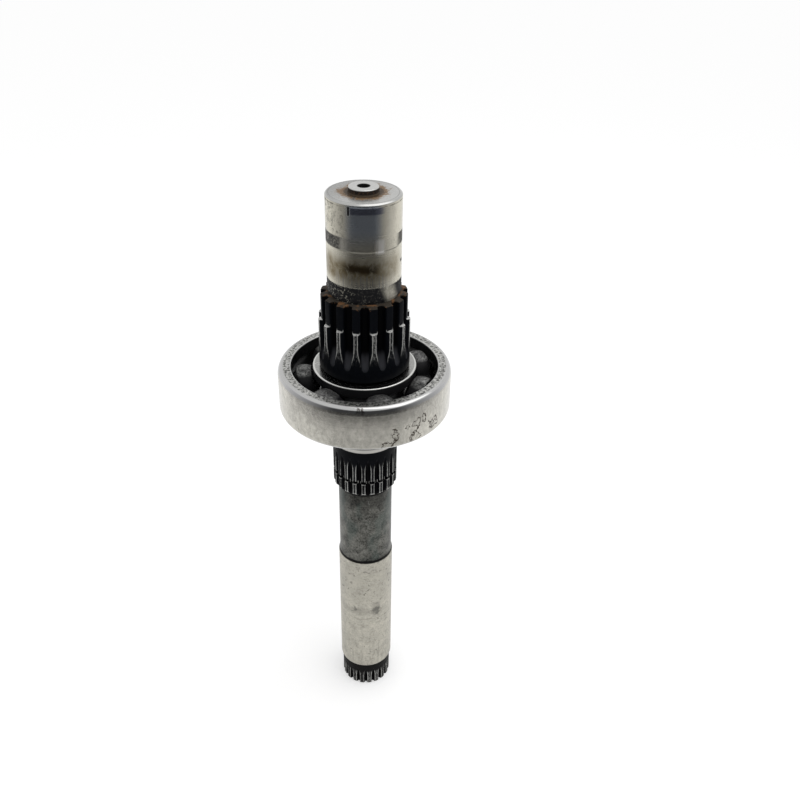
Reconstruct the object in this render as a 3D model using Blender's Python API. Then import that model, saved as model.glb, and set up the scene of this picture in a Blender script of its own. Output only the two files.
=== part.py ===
"""Transmission input shaft with its ball bearing, standing on the end of its foot spline.

Metres, +Z up along the shaft's axis, the origin at the centre of the foot's end face.
From the foot up: foot spline, tail journal, plain shank, hub spline, bearing seat with
the bearing, gear spline on its collar, front journal and centre boss.
"""

from math import acos, asin, atan2, cos, pi, radians, sin, sqrt, tau

import bmesh
import bpy
from mathutils import Vector

MM = 0.001

# Clearances between pieces
FIT_GAP = 0.3 * MM          # between pieces that are pressed or riveted together
RUN_GAP = 0.3 * MM          # between the balls and their races
POCKET_GAP = 0.55 * MM      # between a ball and its pocket in the cage

# Foot spline, at the bottom end
FOOT_TEETH = 19
FOOT_TIP_RADIUS = 10.2 * MM
FOOT_TOOTH_DEPTH = 1.15 * MM
FOOT_SPACE_HALF = 0.86 * MM
FOOT_CLOCK = radians(2.3)
FOOT_SPLINE_LENGTH = 8.8 * MM
FOOT_NECK_LENGTH = 2.7 * MM

# Tail journal, ground bright, with a tool groove at its upper end
TAIL_RADIUS = 10.85 * MM
TAIL_LENGTH = 60.6 * MM
TAIL_GROOVE_DEPTH = 0.45 * MM
TAIL_GROOVE_WIDTH = 0.6 * MM

# Plain shank, dark, that flares out to the tool groove
SHANK_RADIUS = 10.35 * MM
SHANK_LENGTH = 34.5 * MM
SHANK_FLARE_LENGTH = 1.6 * MM
SHANK_FLARE_RISE = 0.35 * MM

# Hub spline, with a snap ring groove turned through its teeth
HUB_TEETH = 22
HUB_TIP_RADIUS = 12.15 * MM
HUB_TOOTH_DEPTH = 1.15 * MM
HUB_SPACE_HALF = 0.95 * MM
HUB_CLOCK = radians(-4.1)
HUB_SPLINE_LENGTH = 17.0 * MM
HUB_NECK_LENGTH = 3.2 * MM
SNAP_GROOVE_HEIGHT = 6.5 * MM
SNAP_GROOVE_WIDTH = 1.2 * MM
SNAP_GROOVE_DEPTH = 0.95 * MM

# Bearing seat, and how much of it shows below the bearing
SEAT_RADIUS = 12.5 * MM
SEAT_STEP = 0.35 * MM
SEAT_SHOWING = 14.5 * MM

# Ball bearing of the 25 x 62 x 17 size
BEARING_RADIUS = 31.0 * MM
BEARING_WIDTH = 17.0 * MM
OUTER_CORNER = 1.8 * MM
BORE_CORNER = 1.2 * MM
SHOULDER_CORNER = 0.5 * MM
CORNER_CUT = 0.3            # how far a rounded corner's middle lies inside, as a share
BALL_COUNT = 7
BALL_CLOCK = radians(180.0)
BALL_SHARE = 0.3108         # a ball's radius as a share of the bearing's section, seat to outside
RACE_SHARE = 1.04           # a race's section radius as a share of the ball's
OUTER_SHOULDER_SHARE = 0.28     # the outer race's depth below its shoulders, of a ball's radius
INNER_SHOULDER_SHARE = 0.487    # the inner race's depth below its shoulders, of a ball's radius

# Pressed ribbon cage in two riveted halves
CAGE_THICKNESS = 0.8 * MM
CAGE_SHARE = 0.452          # half the ribbon's width, as a share of a ball's radius
RIVET_SHARE = 0.385         # a rivet's radius, as a share of half the flat between two pockets
RIVET_HEAD_SHARE = 0.685    # its head's radius, as a share of the same
RIVET_HEAD_HEIGHT = 0.7 * MM

# Gear spline: its teeth step down from the collar's radius to a smaller one
COLLAR_RADIUS = 16.0 * MM
COLLAR_LENGTH = 4.8 * MM
GEAR_TEETH = 16
GEAR_LEDGE_DEPTH = 1.05 * MM
GEAR_TOOTH_DEPTH = 3.2 * MM
GEAR_FILLET = 1.35 * MM
GEAR_SPACE_HALF_UPPER = 1.57 * MM
GEAR_SPACE_HALF_TIP = 2.33 * MM
GEAR_CLOCK = radians(-0.2)
GEAR_LOWER_LENGTH = 14.2 * MM
GEAR_UPPER_LENGTH = 9.3 * MM
GEAR_END_SLOPE = 0.5 * MM
HOB_RADIUS = 14.0 * MM      # of the cutter that made the spaces and left their run-outs

# Front journal, with a relief at its root and a boss with a centre hole on its end
JOURNAL_RADIUS = 12.55 * MM
JOURNAL_LENGTH = 33.1 * MM
JOURNAL_RELIEF_WIDTH = 0.8 * MM
JOURNAL_RELIEF_DEPTH = 0.4 * MM
BOSS_RADIUS = 5.0 * MM
BOSS_HEIGHT = 1.9 * MM
CENTRE_HOLE_RADIUS = 2.0 * MM
CENTRE_HOLE_DEPTH = 4.5 * MM

# Chamfers turned on the shaft's edges
FINE_CHAMFER = 0.3 * MM
EDGE_CHAMFER = 0.85 * MM
TOOTH_CHAMFER = 1.1 * MM

# Heights up the shaft, each from the one below it
TAIL_START = FOOT_SPLINE_LENGTH + FOOT_NECK_LENGTH
HUB_START = TAIL_START + TAIL_LENGTH + TAIL_GROOVE_WIDTH + SHANK_LENGTH
SEAT_START = HUB_START + HUB_SPLINE_LENGTH + HUB_NECK_LENGTH
BEARING_START = SEAT_START + SEAT_SHOWING
BEARING_MIDDLE = BEARING_START + BEARING_WIDTH / 2
COLLAR_START = BEARING_START + BEARING_WIDTH + FIT_GAP
GEAR_LEDGE = COLLAR_START + COLLAR_LENGTH + GEAR_LOWER_LENGTH
GEAR_END = GEAR_LEDGE + GEAR_UPPER_LENGTH

# Sizes inside the bearing, which follow from the room between its seat and its outside
BALL_RADIUS = (BEARING_RADIUS - SEAT_RADIUS) * BALL_SHARE
BALL_PITCH_RADIUS = (BEARING_RADIUS + SEAT_RADIUS) / 2
OUTER_FLOOR_RADIUS = BALL_PITCH_RADIUS + BALL_RADIUS + RUN_GAP
INNER_FLOOR_RADIUS = BALL_PITCH_RADIUS - BALL_RADIUS - RUN_GAP
OUTER_BORE_RADIUS = OUTER_FLOOR_RADIUS - BALL_RADIUS * OUTER_SHOULDER_SHARE
INNER_SHOULDER_RADIUS = INNER_FLOOR_RADIUS + BALL_RADIUS * INNER_SHOULDER_SHARE
POCKET_INSIDE = BALL_RADIUS + POCKET_GAP
POCKET_OUTSIDE = POCKET_INSIDE + CAGE_THICKNESS
CAGE_HALF_WIDTH = BALL_RADIUS * CAGE_SHARE
CAGE_FLAT_HALF = BALL_PITCH_RADIUS * sin(pi / BALL_COUNT) - POCKET_OUTSIDE
RIVET_RADIUS = CAGE_FLAT_HALF * RIVET_SHARE
RIVET_HEAD_RADIUS = CAGE_FLAT_HALF * RIVET_HEAD_SHARE

# Smoothness of the round forms
SHAFT_SEGMENTS = 48
BEARING_SEGMENTS = 42
HOLE_SEGMENTS = 16
BOSS_SEGMENTS = 32
RACE_STEPS = 4
POCKET_STEPS = (0.0, 0.36, 0.66, 0.88, 1.0)     # of a pocket's radius, from its middle out
BALL_SEGMENTS = 12
BALL_RINGS = 8
RIVET_SEGMENTS = 8
GEAR_LIFTS = (0.35, 0.7, 0.92, 1.0)
SMALL_LIFTS = (0.45, 0.85, 1.0)
WELD_STEP = 1e-7


class Skin:
    """A closed surface, laid down as rings of points; equal points share one vertex."""

    def __init__(self):
        self.mesh = bmesh.new()
        self.welded = {}

    def vertex(self, point):
        key = tuple(round(value / WELD_STEP) for value in point)
        if key not in self.welded:
            self.welded[key] = self.mesh.verts.new(point)
        return self.welded[key]

    def face(self, points):
        corners = []
        for point in points:
            corner = self.vertex(point)
            if corner not in corners:
                corners.append(corner)
        if len(corners) > 2:
            self.mesh.faces.new(corners)

    def band(self, first, second):
        """Four-sided faces between two rings of as many points."""
        for i in range(len(first)):
            j = (i + 1) % len(first)
            self.face((first[i], first[j], second[j], second[i]))

    def zipped(self, first, second):
        """Triangles between two rings of different counts, taken in the order of their angles."""
        first, second = sorted(first, key=turn_of), sorted(second, key=turn_of)
        i = j = 0
        while i < len(first) or j < len(second):
            a, b = first[i % len(first)], second[j % len(second)]
            next_a, next_b = first[(i + 1) % len(first)], second[(j + 1) % len(second)]
            turn_a = turn_of(next_a) + tau * (i + 1 >= len(first))
            turn_b = turn_of(next_b) + tau * (j + 1 >= len(second))
            if j == len(second) or (i < len(first) and turn_a <= turn_b):
                self.face((a, next_a, b))
                i += 1
            else:
                self.face((a, next_b, b))
                j += 1

    def run(self, rings, closed=False):
        """Joins each ring to the next, and the last to the first on a closed run."""
        pairs = list(zip(rings, rings[1:]))
        if closed:
            pairs.append((rings[-1], rings[0]))
        for first, second in pairs:
            if len(first) == len(second):
                self.band(first, second)
            else:
                self.zipped(first, second)

    def finish(self, name):
        mesh = bpy.data.meshes.new(name)
        self.mesh.to_mesh(mesh)
        self.mesh.free()
        return mesh


def turn_of(point):
    return atan2(point[1], point[0]) % tau


def polar(radius, angle, z):
    return (radius * cos(angle), radius * sin(angle), z)


def circle(radius, z, segments=SHAFT_SEGMENTS):
    return [polar(radius, tau * i / segments, z) for i in range(segments)]


class Spline:
    """A ring of teeth: round-bottomed spaces in a cylinder, wider towards the tips."""

    def __init__(self, teeth, tip, depth, fillet, flank, clock, lifts, land_steps=1):
        self.teeth = teeth
        self.tip = tip
        self.root = tip - depth
        self.depth = depth
        self.clock = clock
        self.lifts = lifts
        self.land_steps = land_steps
        self.fillet = fillet
        # The flank starts where the root's fillet has turned to within 15 degrees of radial
        lean = radians(15)
        start = (fillet * (1 - sin(lean)), fillet * cos(lean))
        self.flank = [start] + [(radius - self.root, half) for radius, half in flank]
        self.rises = [rise for rise, half in reversed(self.flank)]

    def half_width(self, rise):
        """Half of a space's width, at a height above its floor."""
        if rise <= self.flank[0][0]:
            return sqrt(max(rise * (2 * self.fillet - rise), 0.0))
        for (low, low_half), (high, high_half) in zip(self.flank, self.flank[1:]):
            if rise <= high or high == self.flank[-1][0]:
                return low_half + (high_half - low_half) * (rise - low) / (high - low)

    def ring(self, z, lift=0.0, limit=None):
        """The outline at height z, with the spaces' floors lifted, turned down to a limit."""
        left = 1 - lift / self.depth
        side = []
        for rise in self.rises:
            radius = self.root + lift + rise * left
            side.append((asin(self.half_width(rise * left) / radius), radius))
        edge, tip = side[0]
        half_pitch = pi / self.teeth
        land = [half_pitch + (edge - half_pitch) * i / self.land_steps for i in range(self.land_steps)]
        half = [(angle, tip) for angle in land] + side
        outline = [(-angle, radius) for angle, radius in half] + [(0.0, self.root + lift)]
        outline += [(angle, radius) for angle, radius in reversed(half[1:])]
        points = []
        for tooth in range(self.teeth):
            centre = self.clock + tau * tooth / self.teeth
            for angle, radius in outline:
                points.append(polar(min(radius, limit or radius), centre + angle, z))
        return points

    def run_out(self, start, direction):
        """Rings up to where the cutter left the blank: its circle lifts the floors."""
        rings = []
        for share in self.lifts:
            lift = self.depth * share
            travel = sqrt(lift * (2 * HOB_RADIUS - lift))
            rings.append(self.ring(start + direction * travel, lift))
        return rings

    def run_out_length(self):
        return sqrt(self.depth * (2 * HOB_RADIUS - self.depth))


def small_spline(teeth, tip, depth, space_half, clock):
    """A fine spline, whose root fillet is as wide as the space leaves room for."""
    return Spline(teeth, tip, depth, space_half / 2, [(tip, space_half)], clock, SMALL_LIFTS)


def foot_rings():
    """The foot's centre hole, its end face, its teeth with their run-outs, and its neck."""
    spline = small_spline(FOOT_TEETH, FOOT_TIP_RADIUS, FOOT_TOOTH_DEPTH, FOOT_SPACE_HALF, FOOT_CLOCK)
    full = FOOT_SPLINE_LENGTH - spline.run_out_length()
    rings = [circle(0.0, CENTRE_HOLE_DEPTH + CENTRE_HOLE_RADIUS / 2, HOLE_SEGMENTS)]
    rings.append(circle(CENTRE_HOLE_RADIUS, CENTRE_HOLE_DEPTH, HOLE_SEGMENTS))
    rings.append(circle(CENTRE_HOLE_RADIUS, 0.0, HOLE_SEGMENTS))
    rings.append(spline.ring(0.0, limit=FOOT_TIP_RADIUS - FINE_CHAMFER))
    rings.append(spline.ring(FINE_CHAMFER))
    rings.append(spline.ring(full))
    rings += spline.run_out(full, 1)
    rings.append(circle(FOOT_TIP_RADIUS, TAIL_START))
    return rings


def tail_rings():
    """The tail journal, its tool groove, and the shank up to the hub spline."""
    top = TAIL_START + TAIL_LENGTH
    groove_top = top + TAIL_GROOVE_WIDTH
    floor = TAIL_RADIUS - TAIL_GROOVE_DEPTH
    return [
        circle(TAIL_RADIUS, TAIL_START + EDGE_CHAMFER),
        circle(TAIL_RADIUS, top),
        circle(floor, top),
        circle(floor, groove_top),
        circle(SHANK_RADIUS + SHANK_FLARE_RISE, groove_top),
        circle(SHANK_RADIUS, groove_top + SHANK_FLARE_LENGTH),
        circle(SHANK_RADIUS, HUB_START),
    ]


def hub_rings():
    """The hub spline: chamfered ends, the snap ring groove, and run-outs at its upper end."""
    spline = small_spline(HUB_TEETH, HUB_TIP_RADIUS, HUB_TOOTH_DEPTH, HUB_SPACE_HALF, HUB_CLOCK)
    end = HUB_START + HUB_SPLINE_LENGTH
    full = end - spline.run_out_length()
    groove_low = HUB_START + SNAP_GROOVE_HEIGHT - SNAP_GROOVE_WIDTH / 2
    groove_high = groove_low + SNAP_GROOVE_WIDTH
    groove_radius = HUB_TIP_RADIUS - SNAP_GROOVE_DEPTH
    below_root = spline.root - FINE_CHAMFER / 3
    rings = [
        spline.ring(HUB_START, limit=below_root),
        spline.ring(HUB_START + TOOTH_CHAMFER),
        spline.ring(groove_low),
        spline.ring(groove_low, limit=groove_radius),
        spline.ring(groove_high, limit=groove_radius),
        spline.ring(groove_high),
        spline.ring(full),
    ]
    rings += spline.run_out(full, 1)
    return rings


def seat_rings():
    """The neck above the hub spline, the bearing seat, and the collar that stops the bearing."""
    return [
        circle(HUB_TIP_RADIUS, SEAT_START),
        circle(SEAT_RADIUS, SEAT_START + SEAT_STEP),
        circle(SEAT_RADIUS, COLLAR_START),
        circle(COLLAR_RADIUS - EDGE_CHAMFER, COLLAR_START),
        circle(COLLAR_RADIUS, COLLAR_START + EDGE_CHAMFER),
    ]


def gear_rings():
    """The gear spline: run-outs in the collar, a ledge round its teeth, a sloped upper end."""
    upper_radius = COLLAR_RADIUS - GEAR_LEDGE_DEPTH
    flank = [(upper_radius, GEAR_SPACE_HALF_UPPER), (COLLAR_RADIUS, GEAR_SPACE_HALF_TIP)]
    spline = Spline(GEAR_TEETH, COLLAR_RADIUS, GEAR_TOOTH_DEPTH, GEAR_FILLET, flank, GEAR_CLOCK,
                    GEAR_LIFTS, land_steps=2)
    spline.rises.append(GEAR_FILLET / 8)
    full = COLLAR_START + COLLAR_LENGTH + spline.run_out_length()
    below_root = spline.root - FINE_CHAMFER / 3
    rings = spline.run_out(full, -1)
    rings.reverse()
    rings += [
        spline.ring(full),
        spline.ring(GEAR_LEDGE),
        spline.ring(GEAR_LEDGE, limit=upper_radius),
        spline.ring(GEAR_END - GEAR_END_SLOPE, limit=upper_radius),
        spline.ring(GEAR_END, limit=below_root),
    ]
    return rings


def journal_rings():
    """The relief at the front journal's root, the journal, its boss and its centre hole."""
    relief = JOURNAL_RADIUS - JOURNAL_RELIEF_DEPTH
    relief_top = GEAR_END + JOURNAL_RELIEF_WIDTH
    face = relief_top + JOURNAL_RELIEF_DEPTH / 2 + JOURNAL_LENGTH
    top = face + BOSS_HEIGHT
    floor = top - CENTRE_HOLE_DEPTH
    return [
        circle(relief, GEAR_END),
        circle(relief, relief_top),
        circle(JOURNAL_RADIUS, relief_top + JOURNAL_RELIEF_DEPTH / 2),
        circle(JOURNAL_RADIUS, face - EDGE_CHAMFER),
        circle(JOURNAL_RADIUS - EDGE_CHAMFER, face),
        circle(BOSS_RADIUS, face, BOSS_SEGMENTS),
        circle(BOSS_RADIUS, top - FINE_CHAMFER, BOSS_SEGMENTS),
        circle(BOSS_RADIUS - FINE_CHAMFER, top, BOSS_SEGMENTS),
        circle(CENTRE_HOLE_RADIUS, top, HOLE_SEGMENTS),
        circle(CENTRE_HOLE_RADIUS, floor, HOLE_SEGMENTS),
        circle(0.0, floor - CENTRE_HOLE_RADIUS / 2, HOLE_SEGMENTS),
    ]


def shaft_mesh():
    skin = Skin()
    rings = foot_rings() + tail_rings() + hub_rings() + seat_rings() + gear_rings()
    skin.run(rings + journal_rings())
    return skin.finish("shaft")


def turned_mesh(name, profile, segments=BEARING_SEGMENTS, closed=True):
    """A profile of (radius, height) pairs, that runs up its outer side, turned about Z."""
    skin = Skin()
    skin.run([circle(radius, z, segments) for radius, z in profile], closed)
    return skin.finish(name)


def race(track_radius, centre_radius, shoulder_radius):
    """A race's section as (radius, height), downwards, between its two shoulders."""
    reach = acos((shoulder_radius - centre_radius) / track_radius)
    if shoulder_radius < centre_radius:
        reach = -(pi - reach)
        middle = pi
    else:
        middle = 0.0
    points = []
    for i in range(RACE_STEPS + 1):
        angle = middle + reach * (1 - 2 * i / RACE_STEPS)
        points.append((centre_radius + track_radius * cos(angle), track_radius * sin(angle)))
    return points


def outer_ring_mesh():
    half = BEARING_WIDTH / 2
    track = BALL_RADIUS * RACE_SHARE
    centre = OUTER_FLOOR_RADIUS - track
    profile = [
        (BEARING_RADIUS - OUTER_CORNER, -half),
        (BEARING_RADIUS - OUTER_CORNER * CORNER_CUT, -half + OUTER_CORNER * CORNER_CUT),
        (BEARING_RADIUS, -half + OUTER_CORNER),
        (BEARING_RADIUS, half - OUTER_CORNER),
        (BEARING_RADIUS - OUTER_CORNER * CORNER_CUT, half - OUTER_CORNER * CORNER_CUT),
        (BEARING_RADIUS - OUTER_CORNER, half),
        (OUTER_BORE_RADIUS + SHOULDER_CORNER, half),
        (OUTER_BORE_RADIUS, half - SHOULDER_CORNER),
        *race(track, centre, OUTER_BORE_RADIUS),
        (OUTER_BORE_RADIUS, -half + SHOULDER_CORNER),
        (OUTER_BORE_RADIUS + SHOULDER_CORNER, -half),
    ]
    return turned_mesh("bearing_outer_ring", profile)


def inner_ring_mesh():
    half = BEARING_WIDTH / 2
    bore = SEAT_RADIUS + FIT_GAP
    track = BALL_RADIUS * RACE_SHARE
    centre = INNER_FLOOR_RADIUS + track
    profile = [
        (INNER_SHOULDER_RADIUS - SHOULDER_CORNER, -half),
        (INNER_SHOULDER_RADIUS, -half + SHOULDER_CORNER),
        *reversed(race(track, centre, INNER_SHOULDER_RADIUS)),
        (INNER_SHOULDER_RADIUS, half - SHOULDER_CORNER),
        (INNER_SHOULDER_RADIUS - SHOULDER_CORNER, half),
        (bore + BORE_CORNER, half),
        (bore, half - BORE_CORNER),
        (bore, -half + BORE_CORNER),
        (bore + BORE_CORNER, -half),
    ]
    return turned_mesh("bearing_inner_ring", profile)


def cage_half_mesh(name, side):
    """One half of the ribbon: flats for the rivets, and a round pocket over each ball."""
    flat_low = FIT_GAP / 2
    flat_high = flat_low + CAGE_THICKNESS
    pocket_end = sqrt(POCKET_OUTSIDE ** 2 - flat_high ** 2)
    reaches = [POCKET_INSIDE * share for share in POCKET_STEPS] + [pocket_end]
    half_turns = [2 * asin(reach / (2 * BALL_PITCH_RADIUS)) for reach in reaches]
    turns = [-turn for turn in reversed(half_turns[1:])] + half_turns
    radii = [BALL_PITCH_RADIUS + CAGE_HALF_WIDTH * share for share in (-1, 0, 1)]
    skin = Skin()
    sections = []
    for ball in range(BALL_COUNT):
        centre = ball_angle(ball)
        for turn in turns:
            upper, lower = [], []
            for radius in radii:
                off = (Vector(polar(radius, turn, 0)) - Vector((BALL_PITCH_RADIUS, 0, 0))).length
                low = max(sqrt(max(POCKET_INSIDE ** 2 - off ** 2, 0.0)), flat_low)
                high = max(sqrt(max(POCKET_OUTSIDE ** 2 - off ** 2, 0.0)), flat_high)
                lower.append(polar(radius, centre + turn, side * low))
                upper.append(polar(radius, centre + turn, side * high))
            section = upper + lower[::-1]
            sections.append(section if side > 0 else section[::-1])
    skin.run(sections, closed=True)
    return skin.finish(name)


def ball_angle(ball):
    return BALL_CLOCK + tau * ball / BALL_COUNT


def rivet_angle(rivet):
    return ball_angle(rivet + 0.5)


def rivet_mesh():
    """A rivet through both halves of the cage, with a round head on each side."""
    under_head = FIT_GAP / 2 + CAGE_THICKNESS + FIT_GAP
    shoulder = under_head + RIVET_HEAD_HEIGHT * 0.55
    top = under_head + RIVET_HEAD_HEIGHT
    upper = [
        (RIVET_RADIUS, under_head),
        (RIVET_HEAD_RADIUS, under_head),
        (RIVET_HEAD_RADIUS * 0.8, shoulder),
        (0.0, top),
    ]
    lower = [(radius, -z) for radius, z in reversed(upper)]
    return turned_mesh("cage_rivet", lower + upper, RIVET_SEGMENTS, closed=False)


def ball_mesh():
    ball = bmesh.new()
    bmesh.ops.create_uvsphere(ball, u_segments=BALL_SEGMENTS, v_segments=BALL_RINGS, radius=BALL_RADIUS)
    mesh = bpy.data.meshes.new("ball")
    ball.to_mesh(mesh)
    ball.free()
    return mesh


def material(name, colour, roughness, metallic=1.0):
    made = bpy.data.materials.new(name)
    made.use_nodes = True
    surface = made.node_tree.nodes["Principled BSDF"]
    surface.inputs["Base Color"].default_value = (*colour, 1.0)
    surface.inputs["Roughness"].default_value = roughness
    surface.inputs["Metallic"].default_value = metallic
    made.diffuse_color = (*colour, 1.0)
    return made


def place(name, mesh, surface, location=(0, 0, 0), parent=None, smooth_to=radians(35)):
    """Names an object, gives it its material and puts it where its own axis stands."""
    mesh.materials.clear()
    mesh.materials.append(surface)
    mesh.shade_smooth()
    mesh.set_sharp_from_angle(angle=smooth_to)
    made = bpy.data.objects.new(name, mesh)
    made.location = location
    made.parent = parent
    bpy.context.scene.collection.objects.link(made)
    return made


def rivet_hole_cutter():
    """Pegs at the rivets' places, as one cutter for both halves of the cage."""
    reach = CAGE_THICKNESS * 3
    pegs = bmesh.new()
    for rivet in range(BALL_COUNT):
        peg = bmesh.ops.create_cone(pegs, cap_ends=True, segments=RIVET_SEGMENTS, depth=2 * reach,
                                    radius1=RIVET_RADIUS + FIT_GAP, radius2=RIVET_RADIUS + FIT_GAP)
        bmesh.ops.translate(pegs, verts=peg["verts"], vec=polar(BALL_PITCH_RADIUS, rivet_angle(rivet), 0))
    mesh = bpy.data.meshes.new("rivet_hole_cutter")
    pegs.to_mesh(mesh)
    pegs.free()
    cutter = bpy.data.objects.new("rivet_hole_cutter", mesh)
    cutter.hide_render = True
    cutter.display_type = "WIRE"
    bpy.context.scene.collection.objects.link(cutter)
    return cutter


def axis_empty(name, location, parent=None):
    empty = bpy.data.objects.new(name, None)
    empty.location = location
    empty.parent = parent
    bpy.context.scene.collection.objects.link(empty)
    return empty


def build():
    for old in list(bpy.data.objects):
        bpy.data.objects.remove(old, do_unlink=True)

    worn_steel = material("worn_shaft_steel", (0.30, 0.29, 0.28), 0.38)
    ring_steel = material("bearing_ring_steel", (0.52, 0.50, 0.47), 0.30)
    ball_steel = material("bearing_ball_steel", (0.60, 0.60, 0.60), 0.15)
    cage_steel = material("pressed_cage_steel", (0.33, 0.32, 0.31), 0.45)

    place("shaft", shaft_mesh(), worn_steel)
    bearing = axis_empty("bearing_axis", (0, 0, BEARING_MIDDLE))
    place("bearing_inner_ring", inner_ring_mesh(), ring_steel, parent=bearing)
    place("bearing_outer_ring", outer_ring_mesh(), ring_steel, parent=bearing)

    cage = axis_empty("cage_axis", (0, 0, 0), bearing)
    cutter = rivet_hole_cutter()
    cutter.parent = cage
    for name, side in (("cage_upper_half", 1), ("cage_lower_half", -1)):
        half = place(name, cage_half_mesh(name, side), cage_steel, parent=cage)
        holes = half.modifiers.new("rivet_holes", "BOOLEAN")
        holes.object = cutter
        holes.solver = "EXACT"

    ball, rivet = ball_mesh(), rivet_mesh()
    for i in range(BALL_COUNT):
        at_ball = polar(BALL_PITCH_RADIUS, ball_angle(i), 0)
        at_rivet = polar(BALL_PITCH_RADIUS, rivet_angle(i), 0)
        place(f"bearing_ball_{i + 1}", ball, ball_steel, at_ball, cage)
        place(f"cage_rivet_{i + 1}", rivet, cage_steel, at_rivet, cage)


build()
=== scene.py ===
# %% [markdown]
# The object is the input shaft of a gearbox, standing on the end of its foot spline, with a
# ball bearing part of the way up. The imported CAD model is the frame: it says where every
# piece is and which body carries it. Each cell below makes one piece, or one finish, and
# stands it in the place of its plain CAD node. Loading the frame comes first, and the box of
# the CAD model is kept.

from math import asin, atan2, cos, pi, radians, sin, sqrt, tau

import bmesh
import bpy
from mathutils import Matrix, Vector


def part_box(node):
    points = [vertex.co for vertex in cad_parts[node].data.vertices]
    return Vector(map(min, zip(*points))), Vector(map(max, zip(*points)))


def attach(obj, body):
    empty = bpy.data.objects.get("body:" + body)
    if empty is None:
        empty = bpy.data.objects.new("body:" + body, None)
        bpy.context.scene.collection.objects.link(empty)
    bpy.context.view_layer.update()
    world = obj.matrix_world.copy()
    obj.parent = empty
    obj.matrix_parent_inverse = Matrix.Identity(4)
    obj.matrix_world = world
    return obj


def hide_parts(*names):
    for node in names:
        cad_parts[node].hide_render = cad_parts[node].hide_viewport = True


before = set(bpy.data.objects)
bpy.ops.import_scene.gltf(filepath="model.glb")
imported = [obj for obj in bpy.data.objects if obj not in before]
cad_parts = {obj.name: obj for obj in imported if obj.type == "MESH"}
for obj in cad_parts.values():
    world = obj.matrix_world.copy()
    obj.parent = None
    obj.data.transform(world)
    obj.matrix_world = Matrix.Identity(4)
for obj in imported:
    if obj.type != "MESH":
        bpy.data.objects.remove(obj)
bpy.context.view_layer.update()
MM = 0.001
SHAFT_BODY, RING_BODY, CAGE_BODY = "shaft_body", "outer_ring_body", "cage_body"


def box_mm(node):
    """A CAD node's lowest and highest corners, in millimetres."""
    low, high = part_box(node)
    return low / MM, high / MM


def placed(name, data):
    """A new object in the scene."""
    made = bpy.data.objects.new(name, data)
    bpy.context.scene.collection.objects.link(made)
    return made


# %% [markdown]
# The photograph was taken by hand, from a little above the shaft's top and close to it, so
# the shaft narrows towards its foot. A camera in Blender is an object whose local -Z looks
# forward, and it could be aimed with a constraint. Here its turn is built from three angles,
# because a matrix says exactly how the camera is tipped, swung and rolled.

# %% Camera
CAMERA_PLACE = Vector((-3.64, -265.91, 311.64)) * MM
CAMERA_DIP = radians(32.386)        # below the horizon
CAMERA_SWING = radians(-3.605)      # to the right
CAMERA_ROLL = radians(1.19)
FOCAL_SHARE = 1.0712                # focal length, as a share of the picture's width
SENSOR = 36.0
PIXEL_SHIFT = 0.5 / 800             # the picture's middle lies between two pixels

dip = Matrix.Rotation(pi / 2 - CAMERA_DIP, 4, "X")
swing = Matrix.Rotation(CAMERA_SWING, 4, "Z")
roll = Matrix.Rotation(CAMERA_ROLL, 4, "Z")
camera = placed("camera", bpy.data.cameras.new("camera"))
camera.matrix_world = Matrix.Translation(CAMERA_PLACE) @ swing @ dip @ roll
camera.data.sensor_width = SENSOR
camera.data.lens = FOCAL_SHARE * SENSOR
camera.data.shift_x = -PIXEL_SHIFT
camera.data.shift_y = PIXEL_SHIFT
camera.data.clip_start = 0.01
bpy.context.scene.camera = camera
print("lens:", round(camera.data.lens, 2), "mm")

# %% [markdown]
# A procedural finish is a sum of masks: where the rust is, where the edge is worn, how deep
# a scratch goes. Wiring dozens of Math nodes by hand hides that sum. One small class can
# wrap a socket instead, so that Python's own signs add the nodes, and the finish reads as
# the sum that it is. Numbers go through Math nodes, colours through Mix nodes.

# %% A socket that Python can reckon with


def feed(tree, inputs, values):
    """Sets each input to its value, or links it to the wire or socket that is given for it."""
    for key, value in values.items():
        value = getattr(value, "socket", value)
        if isinstance(value, bpy.types.NodeSocket):
            tree.links.new(value, inputs[key])
        else:
            inputs[key].default_value = value


def add_node(tree, kind, values=None, **settings):
    """Adds any node, its settings first, and returns its outputs."""
    made = tree.nodes.new(kind)
    for name, value in settings.items():
        setattr(made, name, value)
    feed(tree, made.inputs, values or {})
    return made.outputs


def sign(operation, turned=False):
    """A method that joins a wire to another number with a Math node."""
    def method(self, other):
        values = {0: other, 1: self} if turned else {0: self, 1: other}
        return self.paint.node("ShaderNodeMath", values, operation=operation)
    return method


class Wire:
    """The output of a node. The signs + - * / ** add Math nodes to its tree."""

    def __init__(self, paint, socket):
        self.paint = paint
        self.socket = socket

    def __abs__(self):
        return self.paint.node("ShaderNodeMath", {0: self}, operation="ABSOLUTE")

    __add__ = __radd__ = sign("ADD")
    __mul__ = __rmul__ = sign("MULTIPLY")
    __sub__ = sign("SUBTRACT")
    __rsub__ = sign("SUBTRACT", turned=True)
    __truediv__ = sign("DIVIDE")
    __pow__ = sign("POWER")
    at_least = sign("MAXIMUM")
    at_most = sign("MINIMUM")
    arctan2 = sign("ARCTAN2")


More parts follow.
